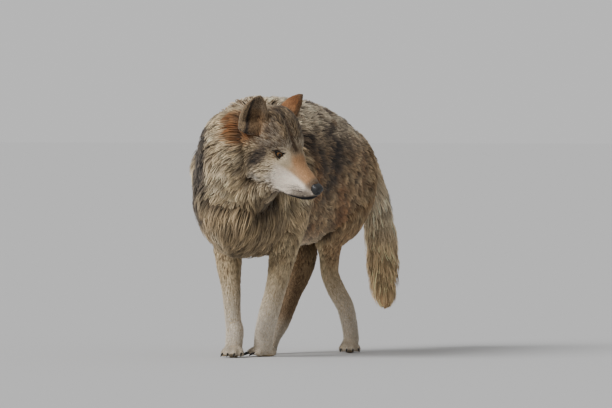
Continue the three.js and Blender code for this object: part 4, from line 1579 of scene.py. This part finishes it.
@dataclass
class Coat:
    """The coat: closed tufts over the whole skin.

    Attributes:
        hide: the skin that it grows on.
        most: the most triangles in one piece.
        parts: each part's name and material slot, by its region's number, and 6 for the ruff.
    """

    hide: Hide
    most: int = 190_000
    parts: tuple[tuple[str, str], ...] = (
        ("body", "coat"),
        ("head", "face"),
        ("tail", "tail"),
        ("leg", "leg"),
        ("paw", "leg"),
        ("ear", "ear"),
        ("ruff", "mane"),
    )

    def build(self) -> list[bpy.types.Object]:
        """Grows every kind of tuft.

        Returns:
            The pieces.
        """
        made = []
        for k, growth in enumerate(GROWTHS):
            random = np.random.default_rng(SEED + k)
            spots = self.scatter(growth, random)
            made += self.split(growth, spots, self.grow(growth, spots, random))
        return made

    def scatter(self, growth: Growth, random: np.random.Generator) -> Spots:
        """Places roots evenly, one to a cell, on the skin whose hair suits the growth.

        Args:
            growth: the kind of tuft.
            random: where chance comes from.

        Returns:
            The roots.
        """
        hide = self.hide
        tri = hide.triangles
        hair = hide.hair[tri].mean(axis=1) * random.uniform(0.9, 1.1, len(tri))
        a, b, c = (hide.points[tri[:, k]] for k in range(3))
        area = np.linalg.norm(np.cross(b - a, c - a), axis=1) / 2
        area *= (hair >= growth.hair[0]) & (hair < growth.hair[1])
        count = int(area.sum() / growth.spacing**2 * 3.0)
        face = np.searchsorted(np.cumsum(area), random.uniform(0, area.sum(), count))
        face = np.minimum(face, len(tri) - 1)
        share = random.uniform(size=(count, 2))
        over = share.sum(axis=1) > 1
        share[over] = 1 - share[over]
        weights = np.stack([1 - share.sum(axis=1), share[:, 0], share[:, 1]], axis=1)
        root = np.einsum("nk,nkc->nc", weights, hide.points[tri[face]])
        kept = one_per_cell(root, growth.spacing * 1.2)
        kept = kept[random.permutation(len(kept))]
        corners, weights, root = tri[face[kept]], weights[kept], root[kept]
        normals = unit(blend(hide.normals, corners, weights))
        flow = along(normals, blend(hide.flow, corners, weights))
        known = (hide.coat, hide.hair, hide.along, hide.regions)
        rest = (blend(values, corners, weights) for values in known)
        spots = Spots(root, normals, flow, *rest, hide.unwrap[corners[:, 0]])
        return spots.pick(~self.bare(spots))

    def bare(self, spots: Spots) -> np.ndarray:
        """Finds where no hair grows: on the eyes, lips, nose and soles.

        Args:
            spots: where to look.

        Returns:
            A mask.
        """
        h = HEAD.back(spots.points)
        rims = np.min([eye.opening(h)[0] for eye in EYES], axis=0)
        close = np.min([eye.opening(h)[1] for eye in EYES], axis=0) < LID_REACH
        tips = HEAD.back(spots.points + spots.flow * (0.8 * spots.hair)[:, None])
        over = np.min([eye.opening(tips)[0] for eye in EYES], axis=0) < 1.0
        above, ahead = mouth_drop(h), -h[:, 1]
        lips = (above < 3.5 + 5.5 * smooth(70, 125, ahead)) & (above > -lip_depth(ahead))
        lips &= (ahead > 30) & (ahead < 170) & (spots.regions[:, 1] > 0.3)
        nose = (ahead > 138) & (h[:, 2] > -56) & (np.abs(h[:, 0]) < 24)
        sole = (spots.points[:, 2] < 7) & (spots.normals[:, 2] < -0.2)
        return (((rims < 1.3) | over) & close) | lips | nose | sole

    def grow(self, growth: Growth, spots: Spots, random: np.random.Generator) -> Tufts:
        """Shapes tufts from their roots.

        A tuft runs along the curve (1-s)^2 root + 2s(1-s) bend + s^2 tip. The tip is where a walk of
        the hair's length along the flow comes back to the skin, raised by the coat's depth.

        Args:
            growth: the kind of tuft.
            spots: the roots.
            random: where chance comes from.

        Returns:
            The tufts.
        """
        size = len(spots.points)
        p, n, f = spots.points, spots.normals, spots.flow
        side = np.cross(n, f)
        leaders, lock_of = self.locks(growth, spots, random)
        chance = random.uniform(size=(size, 4))
        shared = random.uniform(size=(len(leaders), 4))[lock_of]
        length = spots.hair * (0.72 + 0.3 * chance[:, 0] + 0.22 * shared[:, 0])
        calm = 1 - 0.55 * np.clip(self.chest(spots) + 0.6 * spots.regions[:, 2], 0, 1)
        swing = growth.sway * calm * length * (1.6 * (shared[:, 1] - 0.5) + 0.9 * (chance[:, 1] - 0.5))
        rise = spots.coat * (0.48 + 0.32 * chance[:, 2] + 0.34 * shared[:, 2])
        run = np.sqrt(np.maximum(length**2 - rise**2, (0.5 * length) ** 2))
        aim = p + f * run[:, None] + side * swing[:, None]
        tip = self.land(aim, rise, run)
        gather = growth.gather * calm * (0.6 + 0.5 * chance[:, 3])
        tip += (tip[leaders][lock_of] - tip) * gather[:, None] * 0.85
        bend = p + f * (0.48 * run)[:, None] + n * (1.15 * rise)[:, None] - side * (0.25 * swing)[:, None]
        fit = np.clip(spots.hair / growth.hair[0], 0.7, 1.25) if growth.hair[0] > 0 else 1.0
        width = growth.width * (0.7 + 0.6 * chance[:, 1]) * fit
        tones = self.colours(spots, chance, shared)
        angles = np.radians([90.0, 210.0, 330.0])
        spread = side[:, None] * np.cos(angles)[:, None] + 0.55 * n[:, None] * np.sin(angles)[:, None]
        row = chance[:, 3:] * STRAND_ROWS
        rings = [Tufts((p - n)[:, None], n[:, None], tones[:, :1], self.strands(np.zeros(1), 0, row))]
        for s, share, level in self.stations(growth.rings):
            centre = (1 - s) ** 2 * p + 2 * s * (1 - s) * bend + s**2 * tip
            points = centre[:, None] + spread * (width * share)[:, None, None]
            shading = unit(0.75 * n[:, None] + 0.42 * spread)
            colours = np.repeat(tones[:, level : level + 1], 3, axis=1)
            rings.append(Tufts(points, shading, colours, self.strands(np.arange(3) / 3, s, row)))
        rings.append(Tufts(tip[:, None], n[:, None], tones[:, 3:], self.strands(np.zeros(1), 1, row)))
        tufts = Tufts.join(rings)
        tufts.points[..., 2] = np.maximum(tufts.points[..., 2], 0.8)
        return tufts

    def stations(self, rings: int) -> tuple[tuple[float, float, int], ...]:
        """For each ring its place from root to tip, its share of the width and its colour's level."""
        return ((0.38, 0.5, 1), (0.74, 0.36, 2)) if rings == 2 else ((0.45, 0.5, 2),)

    def strands(self, turned: np.ndarray, step: float, row: np.ndarray) -> np.ndarray:
        """Places of one ring on the pattern of hair streaks: round the tuft, along it, and its row."""
        return np.stack(np.broadcast_arrays(turned, float(step), row), axis=-1)

    def locks(
        self, growth: Growth, spots: Spots, random: np.random.Generator
    ) -> tuple[np.ndarray, np.ndarray]:
        """Picks one root in each cell to lead a lock and gives every root its nearest leader.

        Args:
            growth: the kind of tuft.
            spots: the roots.
            random: where chance comes from.

        Returns:
            The leaders' indices, and for each root the number of its leader among them.
        """
        uneven = growth.lock * (1.0 + 0.3 * np.sign(waves(spots.points, 8 * growth.lock, 15)))
        leaders = one_per_cell(spots.points, uneven[:, None])
        tree = tree_of(spots.points[leaders])
        jitter = spots.points + random.normal(size=spots.points.shape) * growth.lock * 0.2
        return leaders, np.array([tree.find(point)[1] for point in jitter.tolist()])

    def land(self, aim: np.ndarray, rise: np.ndarray, run: np.ndarray) -> np.ndarray:
        """Brings points down to the coat's surface.

        Args:
            aim: the points.
            rise: how far above the skin each should be.
            run: how far each has come; a point moves by at most 0.6 of that.

        Returns:
            The points as moved.
        """
        nearest = np.array([self.hide.tree.find(point)[1] for point in aim.tolist()])
        skin, normal = self.hide.points[nearest], self.hide.normals[nearest]
        height = np.sum((aim - skin) * normal, axis=1)
        move = np.clip(rise - height, -0.6 * run, 0.6 * run)
        return aim + normal * move[:, None]

    def chest(self, spots: Spots) -> np.ndarray:
        """How much each spot is on the chest, 0 to 1. Its hair hangs straight and soft."""
        _, y, z = spots.points.T
        return smooth(560, 470, z) * smooth(-20, -90, y) * spots.regions[:, 0]

    def colours(self, spots: Spots, chance: np.ndarray, shared: np.ndarray) -> np.ndarray:
        """Colours of each tuft, varied from tuft to tuft and lock to lock, and darker toward the root as
        painted shade.

        Args:
            spots: the roots.
            chance: random numbers for each tuft.
            shared: random numbers for each tuft's lock.

        Returns:
            Tuft by four levels by three.
        """
        tones = markings(spots)
        loose = smooth(8, 36, spots.hair)
        light = 1 + (0.12 + 0.20 * loose) * (chance[:, 0] - 0.5)
        light = light + (0.08 + 0.34 * loose) * (shared[:, 3] - 0.5)
        # Painted shade: each level's colour is scaled from root to tip, darkest at the roots of long hair and
        # less so on the chest and tail.
        flat, deep = np.array([0.84, 0.94, 1.02, 1.05]), np.array([0.36, 0.70, 1.03, 1.16])
        depth = flat + (deep - flat) * loose[:, None]
        soft = 0.6 * self.chest(spots) + 0.8 * spots.regions[:, 2]
        depth = depth + (0.95 * flat - depth) * soft[:, None]
        light = light * (0.96 + 0.12 * spots.regions[:, 2])
        return np.clip(tones * (light[:, None] * depth)[..., None], 0, 1)

    def split(self, growth: Growth, spots: Spots, tufts: Tufts) -> list[bpy.types.Object]:
        """Makes the pieces: one or more for each part of the body, each under the most triangles.

        Args:
            growth: the kind of tuft.
            spots: the roots.
            tufts: the tufts that stand on them.

        Returns:
            The pieces.
        """
        back = spots.points[:, 1]
        part = np.argmax(spots.regions, axis=1)
        part = np.where((part == 0) & (back < -20), 6, part)
        one = self.pattern(growth.rings)
        made = []
        for number, (name, slot) in enumerate(self.parts):
            mine = np.nonzero(part == number)[0]
            mine = mine[np.argsort(back[mine], kind="stable")]
            pieces = math.ceil(len(mine) * len(one) / self.most)
            for k, group in enumerate(np.array_split(mine, pieces) if pieces else ()):
                label = f"coat_{name}_{growth.name}_{k + 1}"
                made.append(self.piece(label, slot, tufts.pick(group), spots.unwrap[group], one))
        return made

    def pattern(self, rings: int) -> np.ndarray:
        """Triangles of one tuft, whose points are its root, its rings of three and its tip.

        Args:
            rings: how many rings it has.

        Returns:
            Three point indices in each row.
        """
        fan = [(0, 1 + (k + 1) % 3, 1 + k) for k in range(3)]
        last, tip = 1 + 3 * (rings - 1), 1 + 3 * rings
        walls = []
        for ring in range(rings - 1):
            low, high = 1 + 3 * ring, 4 + 3 * ring
            for k in range(3):
                j = (k + 1) % 3
                walls += [(low + k, low + j, high + j), (low + k, high + j, high + k)]
        return np.array(fan + walls + [(last + k, last + (k + 1) % 3, tip) for k in range(3)])

    def piece(
        self, name: str, slot: str, tufts: Tufts, unwrap: np.ndarray, one: np.ndarray
    ) -> bpy.types.Object:
        """Makes one piece of coat.

        Args:
            name: its name.
            slot: the record's material slot.
            tufts: its tufts.
            unwrap: their roots' places on the unwrap.
            one: one tuft's triangles.

        Returns:
            The piece.
        """
        count, each = tufts.points.shape[:2]
        triangles = (one[None] + (np.arange(count) * each)[:, None, None]).reshape(-1, 3)
        mesh = mesh_of(name, tufts.points.reshape(-1, 3), triangles)
        set_tone(mesh, tufts.tones.reshape(-1, 3))
        set_attribute(mesh, "strand", tufts.strands.reshape(-1, 3))
        patch = unwrap[:, None] + (tufts.strands[..., 1::-1] - 0.5) * TUFT_PATCH
        set_unwrap(mesh, patch.reshape(-1, 2)[triangles])
        mesh.normals_split_custom_set_from_vertices(tufts.normals.reshape(-1, 3).tolist())
        return show(mesh, FUR.material(), slot)


# ---- Finishes ----


def new_group(name: str, *sockets: tuple[str, str, str]) -> bpy.types.NodeTree:
    """Starts a node group.

    Args:
        name: its name.
        sockets: each socket's name, its way in or out and its kind.

    Returns:
        The group, empty but for its sockets.
    """
    group = bpy.data.node_groups.new(name, "ShaderNodeTree")
    for label, way, kind in sockets:
        group.interface.new_socket(label, in_out=way, socket_type=f"NodeSocket{kind}")
    return group


def hair_group() -> bpy.types.NodeTree:
    """The node group that streaks a colour along the hair.

    Returns:
        The group. It takes a colour and a strength, and gives the streaked colour and a height.
    """
    found = bpy.data.node_groups.get("hair_streaks")
    if found:
        return found
    group = new_group(
        "hair_streaks", ("Tone", "INPUT", "Color"), ("Strength", "INPUT", "Float"),
        ("Color", "OUTPUT", "Color"), ("Height", "OUTPUT", "Float"),
    )
    nodes, links = group.nodes, group.links
    source, sink = nodes.new("NodeGroupInput"), nodes.new("NodeGroupOutput")
    place = nodes.new("ShaderNodeAttribute")
    place.attribute_name = "strand"
    stretch = nodes.new("ShaderNodeVectorMath")
    stretch.operation = "MULTIPLY"
    stretch.inputs[1].default_value = (9.0, 1.6, 1.0)
    noise = nodes.new("ShaderNodeTexNoise")
    noise.inputs["Scale"].default_value = 1.0
    noise.inputs["Detail"].default_value = 3.0
    spread = nodes.new("ShaderNodeMath")
    spread.operation = "SUBTRACT"
    spread.inputs[1].default_value = 0.5
    scale = nodes.new("ShaderNodeMath")
    scale.operation = "MULTIPLY_ADD"
    scale.inputs[2].default_value = 1.0
    tint = nodes.new("ShaderNodeVectorMath")
    tint.operation = "SCALE"
    links.new(place.outputs["Vector"], stretch.inputs[0])
    links.new(stretch.outputs[0], noise.inputs["Vector"])
    links.new(noise.outputs["Fac"], spread.inputs[0])
    links.new(spread.outputs[0], scale.inputs[0])
    links.new(source.outputs["Strength"], scale.inputs[1])
    links.new(source.outputs["Tone"], tint.inputs[0])
    links.new(scale.outputs[0], tint.inputs["Scale"])
    links.new(tint.outputs[0], sink.inputs["Color"])
    links.new(noise.outputs["Fac"], sink.inputs["Height"])
    return group


def pebble_group() -> bpy.types.NodeTree:
    """The node group of small rounded pebbles, as on a wet nose.

    Returns:
        The group. It takes a scale and gives a height.
    """
    found = bpy.data.node_groups.get("pebbles")
    if found:
        return found
    group = new_group("pebbles", ("Scale", "INPUT", "Float"), ("Height", "OUTPUT", "Float"))
    nodes, links = group.nodes, group.links
    source, sink = nodes.new("NodeGroupInput"), nodes.new("NodeGroupOutput")
    place = nodes.new("ShaderNodeTexCoord")
    cells = nodes.new("ShaderNodeTexVoronoi")
    links.new(place.outputs["Object"], cells.inputs["Vector"])
    links.new(source.outputs["Scale"], cells.inputs["Scale"])
    links.new(cells.outputs["Distance"], sink.inputs["Height"])
    return group


@dataclass(frozen=True)
class Finish:
    """A surface whose colour is its tone attribute.

    Attributes:
        name: the material's name.
        roughness: 0 for a mirror, 1 for chalk.
        streaks: how strongly hair streaks the colour.
        relief: how strongly the streaks or pebbles stand out.
        pebbles: pebbles to a metre, or 0 for hair streaks.
        gloss: weight of a wet coat.
        sheen: weight of a velvet edge.
        specular: how strongly it mirrors, 0.5 as glass.
    """

    name: str
    roughness: float
    streaks: float = 0.0
    relief: float = 0.0
    pebbles: float = 0.0
    gloss: float = 0.0
    sheen: float = 0.0
    specular: float = 0.5

    def material(self) -> bpy.types.Material:
        """Makes the material once and reuses it.

        Returns:
            The material.
        """
        found = bpy.data.materials.get(self.name)
        if found:
            return found
        made = bpy.data.materials.new(self.name)
        made.use_nodes = True
        nodes, links = made.node_tree.nodes, made.node_tree.links
        shader = nodes["Principled BSDF"]
        shader.inputs["Roughness"].default_value = self.roughness
        shader.inputs["Specular IOR Level"].default_value = self.specular
        shader.inputs["Coat Weight"].default_value = self.gloss
        shader.inputs["Coat Roughness"].default_value = 0.05
        shader.inputs["Sheen Weight"].default_value = self.sheen
        shader.inputs["Sheen Roughness"].default_value = 0.5
        tone = nodes.new("ShaderNodeAttribute")
        tone.attribute_name = "tone"
        streaks = nodes.new("ShaderNodeGroup")
        streaks.node_tree = hair_group()
        streaks.inputs["Strength"].default_value = self.streaks
        links.new(tone.outputs["Color"], streaks.inputs["Tone"])
        links.new(streaks.outputs["Color"], shader.inputs["Base Color"])
        if self.relief:
            height = streaks.outputs["Height"]
            if self.pebbles:
                pebbles = nodes.new("ShaderNodeGroup")
                pebbles.node_tree = pebble_group()
                pebbles.inputs["Scale"].default_value = self.pebbles
                height = pebbles.outputs["Height"]
            raised = nodes.new("ShaderNodeBump")
            raised.inputs["Strength"].default_value = self.relief
            raised.inputs["Distance"].default_value = 0.001
            links.new(height, raised.inputs["Height"])
            links.new(raised.outputs["Normal"], shader.inputs["Normal"])
        return made


FUR = Finish("wolf_fur", 0.72, streaks=1.1, sheen=0.12, specular=0.25)
SKIN = Finish("wolf_skin", 0.8, streaks=0.5, relief=0.3, specular=0.3)
EYE = Finish("wolf_eye", 0.12, specular=0.2, gloss=0.45)
LIDS = Finish("wolf_lids", 0.35, specular=0.4)
NOSE = Finish("wolf_nose", 0.42, relief=0.6, pebbles=620.0, gloss=0.25)
HORN = Finish("wolf_horn", 0.4)
WHISKER = Finish("wolf_whisker", 0.5)


# ---- Eyes, nose, claws and whiskers ----


def tinted(name: str, points: np.ndarray, triangles: np.ndarray, colours: np.ndarray) -> bpy.types.Mesh:
    """A mesh with display colours on its points.

    Args:
        name: its name.
        points: its points in body coordinates.
        triangles: its triangles.
        colours: one colour, or one for each point.

    Returns:
        The mesh.
    """
    mesh = mesh_of(name, points, triangles)
    set_tone(mesh, np.broadcast_to(colours, (len(points), 3)))
    return mesh


@dataclass(frozen=True)
class Eyes:
    """The eyeballs and the dark edges of their lids.

    Attributes:
        iris: the iris's edge, in degrees round the ball from its front.
        pupil: the pupil's edge, in degrees.
        bulge: how far the cornea stands out, in mm.
        edge: radius of the lids' edge in mm.
        amber: the iris's colour.
        white: the colour of the ball round it.
        black: the pupil's colour.
    """

    iris: float = 44.0
    pupil: float = 21.0
    bulge: float = 0.8
    edge: float = 1.25
    amber: tuple[float, float, float] = (0.50, 0.35, 0.18)
    white: tuple[float, float, float] = (0.09, 0.065, 0.05)
    black: tuple[float, float, float] = (0.01, 0.01, 0.01)

    def build(self) -> list[bpy.types.Object]:
        """Makes both eyes.

        Returns:
            The pieces.
        """
        made = []
        for plan, name in zip(EYES, ("left", "right")):
            made.append(self.ball(plan, name))
            made.append(self.lids(plan, name))
        return made

    def ball(self, plan: EyePlan, name: str) -> bpy.types.Object:
        """An eyeball: a sphere about the gaze, with a cornea and rings of colour.

        Args:
            plan: the eye.
            name: left or right.

        Returns:
            The piece.
        """
        off = np.concatenate([np.linspace(174, 56, 12), np.linspace(52, 1, 44)])[:, None]
        turned = np.linspace(0, 2 * math.pi, 48, endpoint=False)[None] * plan.side
        radius = plan.radius + self.bulge * smooth(self.iris + 8, 8, off)
        across, along_gaze = np.sin(np.radians(off)), np.cos(np.radians(off))
        ball = np.broadcast_arrays(across * np.cos(turned), across * np.sin(turned), along_gaze)
        rings = plan.centre + np.stack(ball, axis=-1) * radius[..., None] @ plan.axes
        points, triangles = surface(HEAD.out(rings))
        fibre = 1 + 0.22 * np.sin(turned * 17 + 3 * np.sin(turned * 5)) * np.sin(turned * 41 + 1.3)
        shade = 0.62 + 0.38 * smooth(self.iris, self.pupil, off)
        shade = shade * (0.25 + 0.75 * smooth(self.iris, self.iris - 6, off))
        tone = np.array(self.amber) * (fibre * shade)[..., None]
        tone = np.where((off > self.iris)[..., None], self.white, tone)
        tone = np.where((off < self.pupil)[..., None], self.black, tone).reshape(-1, 3)
        mesh = tinted(f"eyeball_{name}", points, triangles, np.concatenate([tone, tone[[0, -1]]]))
        return show(mesh, EYE.material(), "eye", f"eye_{name}")

    def lids(self, plan: EyePlan, name: str) -> bpy.types.Object:
        """The dark edge of the lids, a closed tube round the opening.

        Args:
            plan: the eye.
            name: left or right.

        Returns:
            The piece.
        """
        rim = plan.rim(48, plan.radius + 0.9)
        path = HEAD.out(np.concatenate([rim, rim[:2]]))[None]
        angle = np.linspace(0, 2 * math.pi, 48, endpoint=False)
        width = self.edge * (1.0 + 0.25 * np.sin(angle))
        points, triangles = tubes(path, np.concatenate([width, width[:2]])[None], 8)
        mesh = tinted(f"lids_{name}", points, triangles, np.array([0.06, 0.045, 0.04]))
        return show(mesh, LIDS.material(), "eye")


@dataclass(frozen=True)
class Nose:
    """The nose pad, in head coordinates.

    Attributes:
        centre: its middle.
        reach: half its width, depth and height.
    """

    centre: tuple[float, float, float] = (0.0, -144.0, -38.5)
    reach: tuple[float, float, float] = (18.0, 18.5, 16.0)

    def build(self) -> bpy.types.Object:
        """Makes the pad: an ellipsoid with flattened sides, pressed in at the nostrils and the cleft.

        Returns:
            The piece.
        """
        off = np.radians(np.linspace(176, 2, 64))[:, None]
        angle = np.linspace(0, 2 * math.pi, 72, endpoint=False)[None]
        c, s = np.cos(angle), np.sin(angle)
        c, s = np.sign(c) * np.abs(c) ** 0.62, np.sign(s) * np.abs(s) ** 0.62
        girth, depth = np.sin(off) ** 0.75, np.sign(np.cos(off)) * np.abs(np.cos(off)) ** 0.85
        ball = np.stack(np.broadcast_arrays(girth * c, -depth, girth * s), axis=-1)
        p = (ball * self.reach + self.centre).reshape(-1, 3)
        way = unit(ball.reshape(-1, 3) / self.reach)
        out, front, up = np.abs(p[:, 0]), -p[:, 1], p[:, 2]
        hole = blob((out, 9.5, 4.2), (up + 0.25 * (out - 9.5), -41.0, 4.4)) * (front > 150)
        slit = blob((out, 15.0, 5.0), (up, -45.5, 2.4)) * (front > 141)
        cleft = bump(out, 0.0, 1.3) * smooth(-36, -44, up) * (front > 140)
        wing = blob((out, 13.0, 4.0), (up, -37.0, 6.0)) * (front > 140)
        taper = smooth(-44, -56, up) * 0.35
        p[:, 0] *= 1 - taper
        p += way * (1.4 * wing - 6.0 * hole - 2.6 * slit - 1.3 * cleft)[:, None]
        # Painted highlight: the top of the pad lighter; painted shade: the nostrils and slits darker.
        tone = 0.045 + 0.09 * smooth(-34, -22, up) - 0.07 * np.clip(hole + 0.6 * slit, 0, 1)
        points, triangles = surface(HEAD.out(p).reshape(ball.shape))
        colours = np.stack([tone * 1.02, tone, tone * 1.02], axis=1)
        mesh = tinted("nose_pad", points, triangles, np.concatenate([colours, colours[[0, -1]]]))
        return show(mesh, NOSE.material(), "nose", "nose")


def build_claws() -> bpy.types.Object:
    """Makes the claws of all four paws as one mesh.

    Returns:
        The piece.
    """
    points, triangles, offset = [], [], 0
    for plan in PAWS:
        for rows in plan.claw_rows():
            loft = Loft(Region.PAW, rows, dome=(0.3, 0.9), reference=UP, place=plan.place)
            p, t = surface(loft.sample(14, 12).points)
            points.append(p)
            triangles.append(t + offset)
            offset += len(p)
    joined = np.concatenate(points)
    joined[:, 2] = np.maximum(joined[:, 2], 0.4)
    mesh = tinted("claws", joined, np.concatenate(triangles), np.array([0.10, 0.085, 0.075]))
    return show(mesh, HORN.material(), "leg")


@dataclass(frozen=True)
class Whiskers:
    """Whiskers on the muzzle.

    Attributes:
        count: how many on each side of the muzzle.
        length: shortest and longest in mm.
        radius: radius at the root in mm.
    """

    count: int = 16
    length: tuple[float, float] = (34.0, 68.0)
    radius: float = 0.42

    def build(self, hide: Hide) -> bpy.types.Object:
        """Makes the whiskers: tapered tubes along p + way * s + sag * s^2.

        Args:
            hide: the skin they stand on.

        Returns:
            The piece.
        """
        random = np.random.default_rng(SEED + 20)
        paths = []
        for side in (-1, 1):
            for k in range(self.count):
                ahead = 96 + 34 * (k % 6) / 5
                aim = HEAD.out(np.array([[side * 34.0, -ahead, -48 - 7 * (k // 6)]]))[0]
                _, nearest, _ = hide.tree.find(aim)
                size = random.uniform(*self.length)
                way = unit(np.array([side * 1.0, random.uniform(0.35, 0.9), random.uniform(-0.5, 0.05)]))
                sag = np.array([side * -0.1, 0.5, -0.25]) * size * 0.35
                s = np.linspace(0, 1, 8)[:, None]
                root = HEAD.back(hide.points[nearest][None])
                paths.append(HEAD.out(root + way * size * s + sag * s**2))
        taper = self.radius * np.linspace(1, 0.12, 8)
        points, triangles = tubes(np.array(paths), np.tile(taper, (len(paths), 1)), 5)
        mesh = tinted("whiskers", points, triangles, np.array([0.16, 0.14, 0.13]))
        return show(mesh, WHISKER.material(), "face")


# ---- Studio ----


@dataclass(frozen=True)
class Studio:
    """The floor, light and camera.

    Attributes:
        azimuth: degrees round the wolf that the camera stands.
        elevation: degrees that it looks down.
        distance: metres from the target.
        target: the point that it looks at, in the frame.
        lens: focal length in mm, for a sensor 36 mm wide.
        reach: half the floor's width in metres.
        grey: the floor's colour.
        key: degrees round the wolf and up that the key light stands.
        key_power: its strength.
        key_width: degrees across it, which soften the shadows.
        sky: strength of the sky as a light and as the backdrop.
    """

    azimuth: float = 28.0
    elevation: float = 0.8
    distance: float = 18.0
    target: tuple[float, float, float] = (0.051, -0.154, 0.460)
    lens: float = 352.6
    reach: float = 150.0
    grey: float = 0.64
    key: tuple[float, float] = (-24.0, 36.0)
    key_power: float = 3.0
    key_width: float = 35.0
    sky: tuple[float, float] = (0.42, 0.66)

    def build(self) -> None:
        """Makes the camera, a pale floor and soft light from the upper left."""
        self.camera()
        self.floor()
        self.light()

    @staticmethod
    def toward(azimuth: float, elevation: float) -> Vector:
        """The direction from the wolf to something that stands round it and up by degrees."""
        a, e = math.radians(azimuth), math.radians(elevation)
        return Vector((math.sin(a) * math.cos(e), -math.cos(a) * math.cos(e), math.sin(e)))

    def camera(self) -> None:
        """Places the camera."""
        back = self.toward(self.azimuth, self.elevation)
        lens = bpy.data.cameras.new("camera")
        lens.lens = self.lens
        lens.sensor_width = 36.0
        lens.clip_end = 400.0
        made = bpy.data.objects.new("camera", lens)
        made.location = Vector(self.target) + back * self.distance
        made.rotation_mode = "QUATERNION"
        made.rotation_quaternion = (-back).to_track_quat("-Z", "Y")
        bpy.context.scene.collection.objects.link(made)
        bpy.context.scene.camera = made

    def floor(self) -> None:
        """Makes the floor, wide enough to reach the horizon."""
        mesh = bpy.data.meshes.new("floor")
        r = self.reach
        mesh.from_pydata([(-r, -r, 0), (r, -r, 0), (r, r, 0), (-r, r, 0)], [], [(0, 1, 2, 3)])
        made = bpy.data.objects.new("floor", mesh)
        bpy.context.scene.collection.objects.link(made)
        pale = bpy.data.materials.new("pale_floor")
        pale.use_nodes = True
        shader = pale.node_tree.nodes["Principled BSDF"]
        shader.inputs["Base Color"].default_value = (self.grey, self.grey, self.grey, 1)
        shader.inputs["Roughness"].default_value = 0.9
        mesh.materials.append(pale)

    def light(self) -> None:
        """Makes a broad key light and a pale sky."""
        key = bpy.data.lights.new("key", "SUN")
        key.energy = self.key_power
        key.angle = math.radians(self.key_width)
        made = bpy.data.objects.new("key", key)
        made.rotation_mode = "QUATERNION"
        made.rotation_quaternion = self.toward(*self.key).to_track_quat("Z", "Y")
        bpy.context.scene.collection.objects.link(made)
        sky = bpy.data.worlds.new("sky")
        sky.use_nodes = True
        nodes, links = sky.node_tree.nodes, sky.node_tree.links
        seen = nodes.new("ShaderNodeLightPath")
        strength = nodes.new("ShaderNodeMapRange")
        strength.inputs["To Min"].default_value = self.sky[0]
        strength.inputs["To Max"].default_value = self.sky[1]
        nodes["Background"].inputs["Color"].default_value = (1.0, 1.0, 1.0, 1)
        links.new(seen.outputs["Is Camera Ray"], strength.inputs["Value"])
        links.new(strength.outputs["Result"], nodes["Background"].inputs["Strength"])
        bpy.context.scene.world = sky


def report(made: list[bpy.types.Object]) -> None:
    """Logs each piece and its triangles, and their sum.

    Args:
        made: the pieces.
    """
    for piece in made:
        log.info("%s: %d triangles", piece.name, len(piece.data.polygons))
    log.info("%d triangles in all", sum(len(piece.data.polygons) for piece in made))


def main() -> None:
    """Builds the wolf in its studio."""
    logging.basicConfig(level=logging.INFO, format="%(message)s", stream=sys.stdout)
    hide = Hide().build()
    made = [hide.show()]
    made += Eyes().build()
    made += [Nose().build(), build_claws(), Whiskers().build(hide)]
    made += Coat(hide).build()
    report(made)
    Studio().build()


if __name__ == "__main__":
    main()
